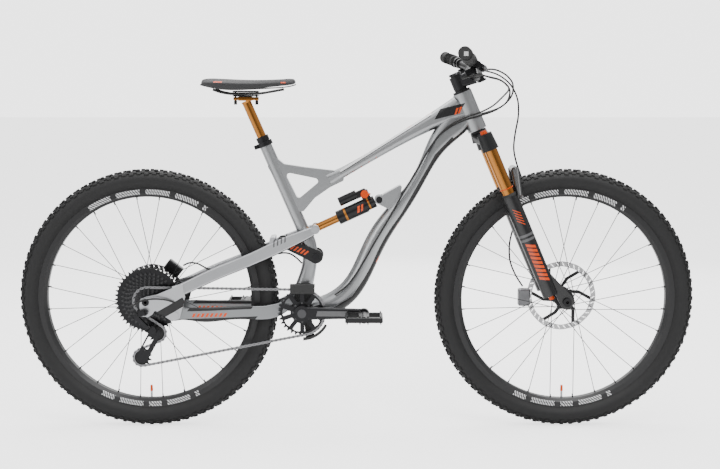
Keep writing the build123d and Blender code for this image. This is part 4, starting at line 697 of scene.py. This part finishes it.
def build_drive():
    grey = finish("crank_grey", (0.09, 0.09, 0.095), 0.4, 0.5)
    crank_marks = [
        box_mark(-0.154 + 0.085, 0.338, 0, 0.043, 0.0075, (0.16, 0.16, 0.165), 0.3, 0.45, 0.4),
        box_mark(-0.154 - 0.085, 0.338, 0, 0.043, 0.0075, (0.16, 0.16, 0.165), 0.3, 0.45, 0.4),
    ]
    paint("crank_arms", finish("crank_finish", (0.02, 0.02, 0.022), 0.36, 0.5, marks=crank_marks))
    for node in ("pedal_right", "pedal_left"):
        paint(node, satin_black())
    for node in ("derailleur_mount", "derailleur_outer_link", "derailleur_inner_link", "derailleur_knuckle", "derailleur_cage"):
        paint(node, dark_metal())
    for node in ("guide_pulley", "tension_pulley", "chain_guide"):
        paint(node, plastic())
    ring_bolts = [
        ((BOTTOM[0] + 0.0265 * sin(2 * pi * k / 8), CHAINLINE - 0.0012, BOTTOM[1] + 0.0265 * cos(2 * pi * k / 8)), (pi / 2, 0, 0))
        for k in range(8)
    ]
    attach(repeat("chainring_bolts", barrel("ring_bolt", 0.0032, 0.002, 10), ring_bolts, grey), "crank")
    cap = [((BOTTOM[0], -0.0758, BOTTOM[1]), (pi / 2, 0, 0))]
    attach(repeat("crank_bolt_cap", barrel("crank_cap", 0.0125, 0.0022, 28), cap, grey), "crank")


def build_frame_finish():
    """Silver paint with dark undersides and small generic orange and black blocks, plus a painted highlight stripe and
    a painted shade line along the top tube.
    """
    marks = [
        facing((0.84, 0, -0.54), 0.5, BLACK, (0.17, 0.64, 60, 0.30, 0.075)),
        facing((0.3, 0, -1), 0.6, BLACK, (-0.07, 0.34, 0, 0.12, 0.06)),
        box_mark(0.129, 0.6055, 60.4, 0.2, 0.0078, BLACK),
        box_mark(0.2495, 0.8025, 46, 0.036, 0.0075, BLACK),
        box_mark(0.0125, 0.404, 56.6, 0.040, 0.008, BLACK),
        box_mark(-0.044, 0.352, 31, 0.052, 0.008, BLACK),
        # Painted highlight: a near-white stripe along the top tube standing in for the studio light reflected there.
        box_mark(0.082, 0.817, 32.4, 0.152, 0.0026, (0.85, 0.85, 0.86), rough=0.25, metal=0.2),
        # Painted shade: a thin near-black line along the top tube's crease, just below the painted highlight.
        box_mark(0.082, 0.812, 32.4, 0.152, 0.0011, (0.03, 0.03, 0.03)),
        box_mark(0.262, 0.905, 14, 0.036, 0.0125, BLACK, 0.9),
        box_mark(0.281, 0.905, 14, 0.0030, 0.0085, ORANGE, 0.6),
        box_mark(0.291, 0.908, 14, 0.0030, 0.0085, ORANGE, 0.6),
        box_mark(0.148, 0.8625, 32, 0.010, 0.0016, ORANGE),
        box_mark(0.204, 0.8985, 32, 0.012, 0.0016, ORANGE),
        box_mark(0.116, 0.576, 60.4, 0.012, 0.0040, ORANGE, 0.5),
        box_mark(0.062, 0.482, 60.4, 0.009, 0.0040, ORANGE, 0.5),
    ]
    for k in range(5):
        marks.append(box_mark(-0.028 + 0.021 * k, 0.722 + 0.0133 * k, 32, 0.0022, 0.0009, ORANGE))
    silver = dict(rough=0.33, metal=0.95, flake=0.04, coat=0.2)
    paint("front_frame", finish("frame_paint", SILVER, marks=marks, **silver))
    stay_marks = [facing((0.36, 0, -1), 0.5, BLACK)]
    for k in range(4):
        stay_marks.append(box_mark(-0.233 + 0.0105 * k, 0.5335 + 0.0045 * k, 24, 0.0022, 0.0095, (0.09, 0.09, 0.095), 0.5))
    stay_marks.append(box_mark(-0.548, 0.338, 30, 0.075, 0.012, BLACK))
    paint("seatstay", finish("seatstay_paint", (0.62, 0.63, 0.65), marks=stay_marks, **silver))
    chain_marks = [
        facing((0, 0, 1), 0.6, BLACK, (-0.37, 0.345, -4, 0.115, 0.03), 0.6),
        facing((0, 0, -1), 0.6, BLACK),
        box_mark(-0.395, 0.3185, 1, 0.110, 0.0055, BLACK, 1.0),
        box_mark(-0.385, 0.350, 1, 0.090, 0.0045, BLACK, 0.8),
    ]
    for k in range(8):
        chain_marks.append(box_mark(-0.459 + 0.0125 * k, 0.3325, 1, 0.0035, 0.0052, ORANGE, 0.5))
    paint("chainstay", finish("chainstay_paint", (0.34, 0.35, 0.36), marks=chain_marks, **silver))
    rocker_marks = [box_mark(-0.181 + 0.0095 * k, 0.5205 - 0.0040 * k, -23, 0.0026, 0.0072, ORANGE, 0.5) for k in range(5)]
    paint("rocker_links", finish("rocker_finish", (0.012, 0.012, 0.013), 0.36, 0.2, marks=rocker_marks))
    paint("frame_pivot_bolts", dark_metal())
    for node in ("headset_and_bearing_cups", "seat_collar", "dropper_outer_tube", "saddle_clamp", "rear_axle", "rear_caliper"):
        paint(node, dark_metal())
    paint("dropper_post", gold())
    shock_marks = [
        box_mark(-0.030, 0.612, 25, 0.0030, 0.03, (0.50, 0.20, 0.04), metal=0.9),
        box_mark(0.006, 0.628, 25, 0.0035, 0.0085, ORANGE, 0.5),
        box_mark(0.016, 0.6325, 25, 0.0030, 0.0085, ORANGE, 0.5),
        box_mark(0.036, 0.642, 25, 0.0022, 0.03, (0.50, 0.20, 0.04), metal=0.9),
    ]
    paint("shock_body", finish("shock_finish", (0.012, 0.012, 0.013), 0.28, 0.3, marks=shock_marks))
    paint("shock_shaft", gold())
    paint("shock_lever", orange())
    for node in ("cockpit_hoses", "rear_hoses", "front_brake_hose"):
        paint(node, finish("hose", (0.012, 0.012, 0.012), 0.45))


def along_fork(down, ahead=0.0):
    """A point (x, z) below the crown race along the steering axis, in metres."""
    return (CROWN[0] + down * sin(LEAN) + ahead * cos(LEAN), CROWN[1] - down * cos(LEAN) + ahead * sin(LEAN))


def build_fork_finish():
    def leg_mark(down, along, across, colour, skew=0.0, ahead=0.008):
        x, z = along_fork(down, ahead)
        return box_mark(x, z, -67, along, across, colour, skew)

    marks = []
    for k in range(9):
        marks.append(leg_mark(0.350 + 0.0125 * k, 0.0042, 0.0125, ORANGE, 0.5))
    for k in range(2):
        marks.append(leg_mark(0.318 + 0.013 * k, 0.0036, 0.03, (0.12, 0.12, 0.125)))
    for k in range(5):
        marks.append(leg_mark(0.245 + 0.0085 * k, 0.0014, 0.009, ORANGE, 0.9))
    paint("fork_lowers", finish("fork_paint", (0.013, 0.013, 0.014), 0.28, 0.1, marks=marks, coat=0.5))
    paint("fork_crown", satin_black())
    paint("fork_stanchions", gold())
    paint("compression_knob", orange())
    paint("rebound_knob", orange())
    paint("front_axle", dark_metal())
    paint("front_caliper", finish("caliper_metal", (0.22, 0.22, 0.23), 0.3, 0.95))
    seals, rings = [], []
    for side in (-1, 1):
        x, z = along_fork(0.200, 0.008)
        seals.append(((x, side * 0.066, z), (0, -LEAN, 0)))
        x, z = along_fork(0.178, 0.008)
        rings.append(((x, side * 0.066, z), (0, -LEAN, 0)))
    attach(repeat("fork_wiper_seals", barrel("wiper", 0.0212, 0.007, 40, 0.0196), seals, rubber()), "fork_lowers")
    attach(repeat("fork_travel_ring", barrel("travel_ring", 0.0196, 0.0025, 40), rings[:1], orange()), "fork_lowers")


def build_cockpit():
    for node in ("stem", "control_mounts", "brake_lever_left", "brake_lever_right"):
        paint(node, dark_metal())
    for node in ("shift_lever", "release_lever", "dropper_lever"):
        paint(node, plastic())
    paint("handlebar", satin_black())
    paint("grips", rubber())
    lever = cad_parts["grips"]
    spots = [v.co for v in lever.data.vertices]
    for side in (-1, 1):
        mine = [v for v in spots if v.y * side > 0]
        tip = sum((v for v in mine if abs(v.y) > 0.388), Vector()) / max(1, len([v for v in mine if abs(v.y) > 0.388]))
        start = sum((v for v in mine if abs(v.y) < 0.262), Vector()) / max(1, len([v for v in mine if abs(v.y) < 0.262]))
        run = (tip - start).normalized()
        turn = run.to_track_quat("Z", "Y").to_euler()
        places = [(tip - run * (0.014 + 0.0052 * k), tuple(turn)) for k in range(19)]
        made = repeat(f"grip_ridges_{'left' if side > 0 else 'right'}", barrel("ridge", 0.0171, 0.0026, 32, 0.0167), places, rubber())
        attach(made, "steering")
        badge = repeat(f"grip_end_mark_{'left' if side > 0 else 'right'}", block("badge", (0.011, 0.011, 0.0005)), [(tip + run * 0.0022, tuple(turn))], finish("pale_mark", (0.6, 0.6, 0.6), 0.5))
        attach(badge, "steering")


def build_saddle():
    """Padded cover with a raised tail and a shallow channel, over the CAD base and rails."""
    low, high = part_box("saddle_cover")
    stations = (
        (0.0, 0.030, 0.012, -0.0045), (0.03, 0.052, 0.020, -0.001), (0.12, 0.0665, 0.031, 0.001), (0.26, 0.070, 0.038, 0.0),
        (0.40, 0.060, 0.036, -0.002), (0.55, 0.042, 0.029, -0.003), (0.70, 0.029, 0.024, -0.002), (0.85, 0.0235, 0.021, 0.0),
        (0.95, 0.0195, 0.018, 0.0005), (1.0, 0.011, 0.009, -0.003),
    )
    verts, faces, count = [], [], 28
    length = high.x - low.x
    for share, wide, tall, lift in stations:
        for k in range(count):
            a = 2 * pi * k / count
            c, s = cos(a), sin(a)
            y = wide * (abs(c) ** 0.72) * (1 if c > 0 else -1)
            dip = 0.0028 * max(0.0, 1 - (y / 0.011) ** 2) if s > 0 and 0.12 < share < 0.9 else 0.0
            edge = (abs(y) / wide) ** 2
            middle = high.z + lift - 0.006
            if s >= 0:
                z = middle + 0.006 * abs(s) ** 0.85 - dip - 0.008 * edge
            else:
                skirt = min(tall, 0.016) + max(0.0, tall - 0.016) * edge
                z = middle + 0.006 - skirt * (0.35 + 0.65 * min(1.0, abs(s) * 1.6)) - 0.004 * edge
            verts.append((low.x + length * share, y, z))
    rings = len(stations)
    for r in range(rings - 1):
        for k in range(count):
            m = (k + 1) % count
            faces.append((r * count + k, r * count + m, (r + 1) * count + m, (r + 1) * count + k))
    faces.append(tuple(range(count))[::-1])
    faces.append(tuple((rings - 1) * count + k for k in range(count)))
    marks = [box_mark(low.x + 0.052, high.z - 0.010, 0, 0.012, 0.0016, ORANGE), box_mark(high.x - 0.035, high.z - 0.012, 0, 0.007, 0.0016, ORANGE)]
    cover = from_data("saddle_pad", verts, faces, finish("saddle_skin", (0.028, 0.028, 0.030), 0.6, 0.0, grain=(650.0, 0.3), marks=marks, sheen=0.1))
    smooth = cover.modifiers.new("Round", "SUBSURF")
    smooth.levels = smooth.render_levels = 2
    graph = bpy.context.evaluated_depsgraph_get()
    plain = bpy.data.meshes.new_from_object(cover.evaluated_get(graph))
    cover.modifiers.clear()
    cover.data = plain
    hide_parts("saddle_cover")
    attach(cover, "seatpost")
    paint("saddle_base", plastic())


def seen_by_camera(tree, seen, other):
    ray = put(tree, "ShaderNodeLightPath").outputs["Is Camera Ray"]
    return put(tree, "ShaderNodeMix", {"data_type": "FLOAT"}, i0=ray, i2=other, i3=seen).outputs[0]


def paper():
    """Floor that stays near white to the camera and keeps soft contact shadows."""
    made = bpy.data.materials.new("floor_paper")
    made.use_nodes = True
    tree = made.node_tree
    tree.nodes.clear()
    out = put(tree, "ShaderNodeOutputMaterial")
    matte = put(tree, "ShaderNodeBsdfDiffuse", Color=swatch(0.82, 0.82, 0.82))
    glow = put(tree, "ShaderNodeEmission", Color=swatch(1, 1, 1), Strength=seen_by_camera(tree, 1.9, 0.0))
    both = put(tree, "ShaderNodeAddShader", i0=matte.outputs[0], i1=glow.outputs[0])
    tree.links.new(both.outputs[0], out.inputs[0])
    return made


def build_stage():
    """Pale floor, soft studio lights, bright surroundings and the camera."""
    floor = from_data("floor", [(-30, -9, 0), (30, -9, 0), (30, 30, 0), (-30, 30, 0)], [(0, 1, 2, 3)], paper(), False)
    for name, place, aim, size, power in (
        ("key", (0.8, -2.2, 3.4), (0, 0, 0.4), 1.8, 62),
        ("fill", (-3.0, -2.2, 1.9), (-0.1, 0, 0.5), 1.6, 22),
        ("top", (0, 0.6, 3.2), (0, 0, 0.4), 2.4, 70),
        ("back", (0.5, 3.0, 1.8), (0, 0, 0.6), 2.6, 40),
    ):
        data = bpy.data.lights.new(name, "AREA")
        data.size, data.energy = size, power
        lamp = bpy.data.objects.new(name, data)
        lamp.location = place
        lamp.rotation_euler = (Vector(aim) - Vector(place)).to_track_quat("-Z", "Y").to_euler()
        bpy.context.scene.collection.objects.link(lamp)
    world = bpy.data.worlds.new("studio")
    world.use_nodes = True
    tree = world.node_tree
    ground = tree.nodes["Background"]
    ground.inputs["Color"].default_value = (1, 1, 1, 1)
    way = put(tree, "ShaderNodeTexCoord").outputs["Generated"]
    height = put(tree, "ShaderNodeSeparateXYZ", Vector=way).outputs["Z"]
    sky = put(tree, "ShaderNodeMapRange", Value=height, From_Min=0.05, From_Max=0.75, To_Min=0.12, To_Max=1.25).outputs[0]
    tree.links.new(seen_by_camera(tree, 3.2, sky), ground.inputs["Strength"])
    bpy.context.scene.world = world
    data = bpy.data.cameras.new("camera")
    data.lens, data.sensor_width = 67.0, 36.0
    camera = bpy.data.objects.new("camera", data)
    camera.location = (0.010, -3.8, 1.000)
    camera.rotation_euler = (Vector((0.010, 0, 0.554)) - camera.location).to_track_quat("-Z", "Y").to_euler()
    bpy.context.scene.collection.objects.link(camera)
    bpy.context.scene.camera = camera


# ---- add-on ----
class BikeSettings(bpy.types.PropertyGroup):
    tyre_knobs: bpy.props.BoolProperty(name="Tyre knobs", description="Build the tread", default=True)


class BIKE_OT_wheels(bpy.types.Operator):
    """Tyres, rims, rotors and their small pieces"""

    bl_idname = "bike.wheels"
    bl_label = "Wheels"

    def execute(self, context):
        for which, centre, rotor_y, rotor_r in (("front", FRONT, 0.040, 0.100), ("rear", REAR, 0.059, 0.090)):
            build_tyre(which, centre)
            build_rim(which, centre)
            build_rotor(which, centre, rotor_y, rotor_r)
            paint(f"{which}_hub", dark_metal())
        return {"FINISHED"}


class BIKE_OT_drive(bpy.types.Operator):
    """Sprocket teeth, chain links and drive finishes"""

    bl_idname = "bike.drive"
    bl_label = "Drive"

    def execute(self, context):
        build_sprockets()
        build_chain()
        build_drive()
        return {"FINISHED"}


class BIKE_OT_frame(bpy.types.Operator):
    """Frame, suspension and fork finishes"""

    bl_idname = "bike.frame_finish"
    bl_label = "Frame and fork"

    def execute(self, context):
        build_frame_finish()
        build_fork_finish()
        return {"FINISHED"}


class BIKE_OT_contact(bpy.types.Operator):
    """Cockpit and saddle"""

    bl_idname = "bike.contact_points"
    bl_label = "Cockpit and saddle"

    def execute(self, context):
        build_cockpit()
        build_saddle()
        return {"FINISHED"}


class BIKE_OT_stage(bpy.types.Operator):
    """Floor, lights and camera"""

    bl_idname = "bike.stage"
    bl_label = "Studio"

    def execute(self, context):
        build_stage()
        return {"FINISHED"}


class BIKE_PT_panel(bpy.types.Panel):
    bl_label = "Mountain bike"
    bl_space_type = "VIEW_3D"
    bl_region_type = "UI"
    bl_category = "Bike"

    def draw(self, context):
        self.layout.prop(context.scene.bike_settings, "tyre_knobs")
        for name in ("bike.wheels", "bike.drive", "bike.frame_finish", "bike.contact_points", "bike.stage"):
            self.layout.operator(name)


CLASSES = (BikeSettings, BIKE_OT_wheels, BIKE_OT_drive, BIKE_OT_frame, BIKE_OT_contact, BIKE_OT_stage, BIKE_PT_panel)


def register():
    for each in CLASSES:
        bpy.utils.register_class(each)
    bpy.types.Scene.bike_settings = bpy.props.PointerProperty(type=BikeSettings)


def unregister():
    del bpy.types.Scene.bike_settings
    for each in reversed(CLASSES):
        bpy.utils.unregister_class(each)


def main():
    register()
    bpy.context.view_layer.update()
    bpy.ops.bike.wheels()
    bpy.ops.bike.drive()
    bpy.ops.bike.frame_finish()
    bpy.ops.bike.contact_points()
    bpy.ops.bike.stage()


if __name__ == "__main__":
    main()
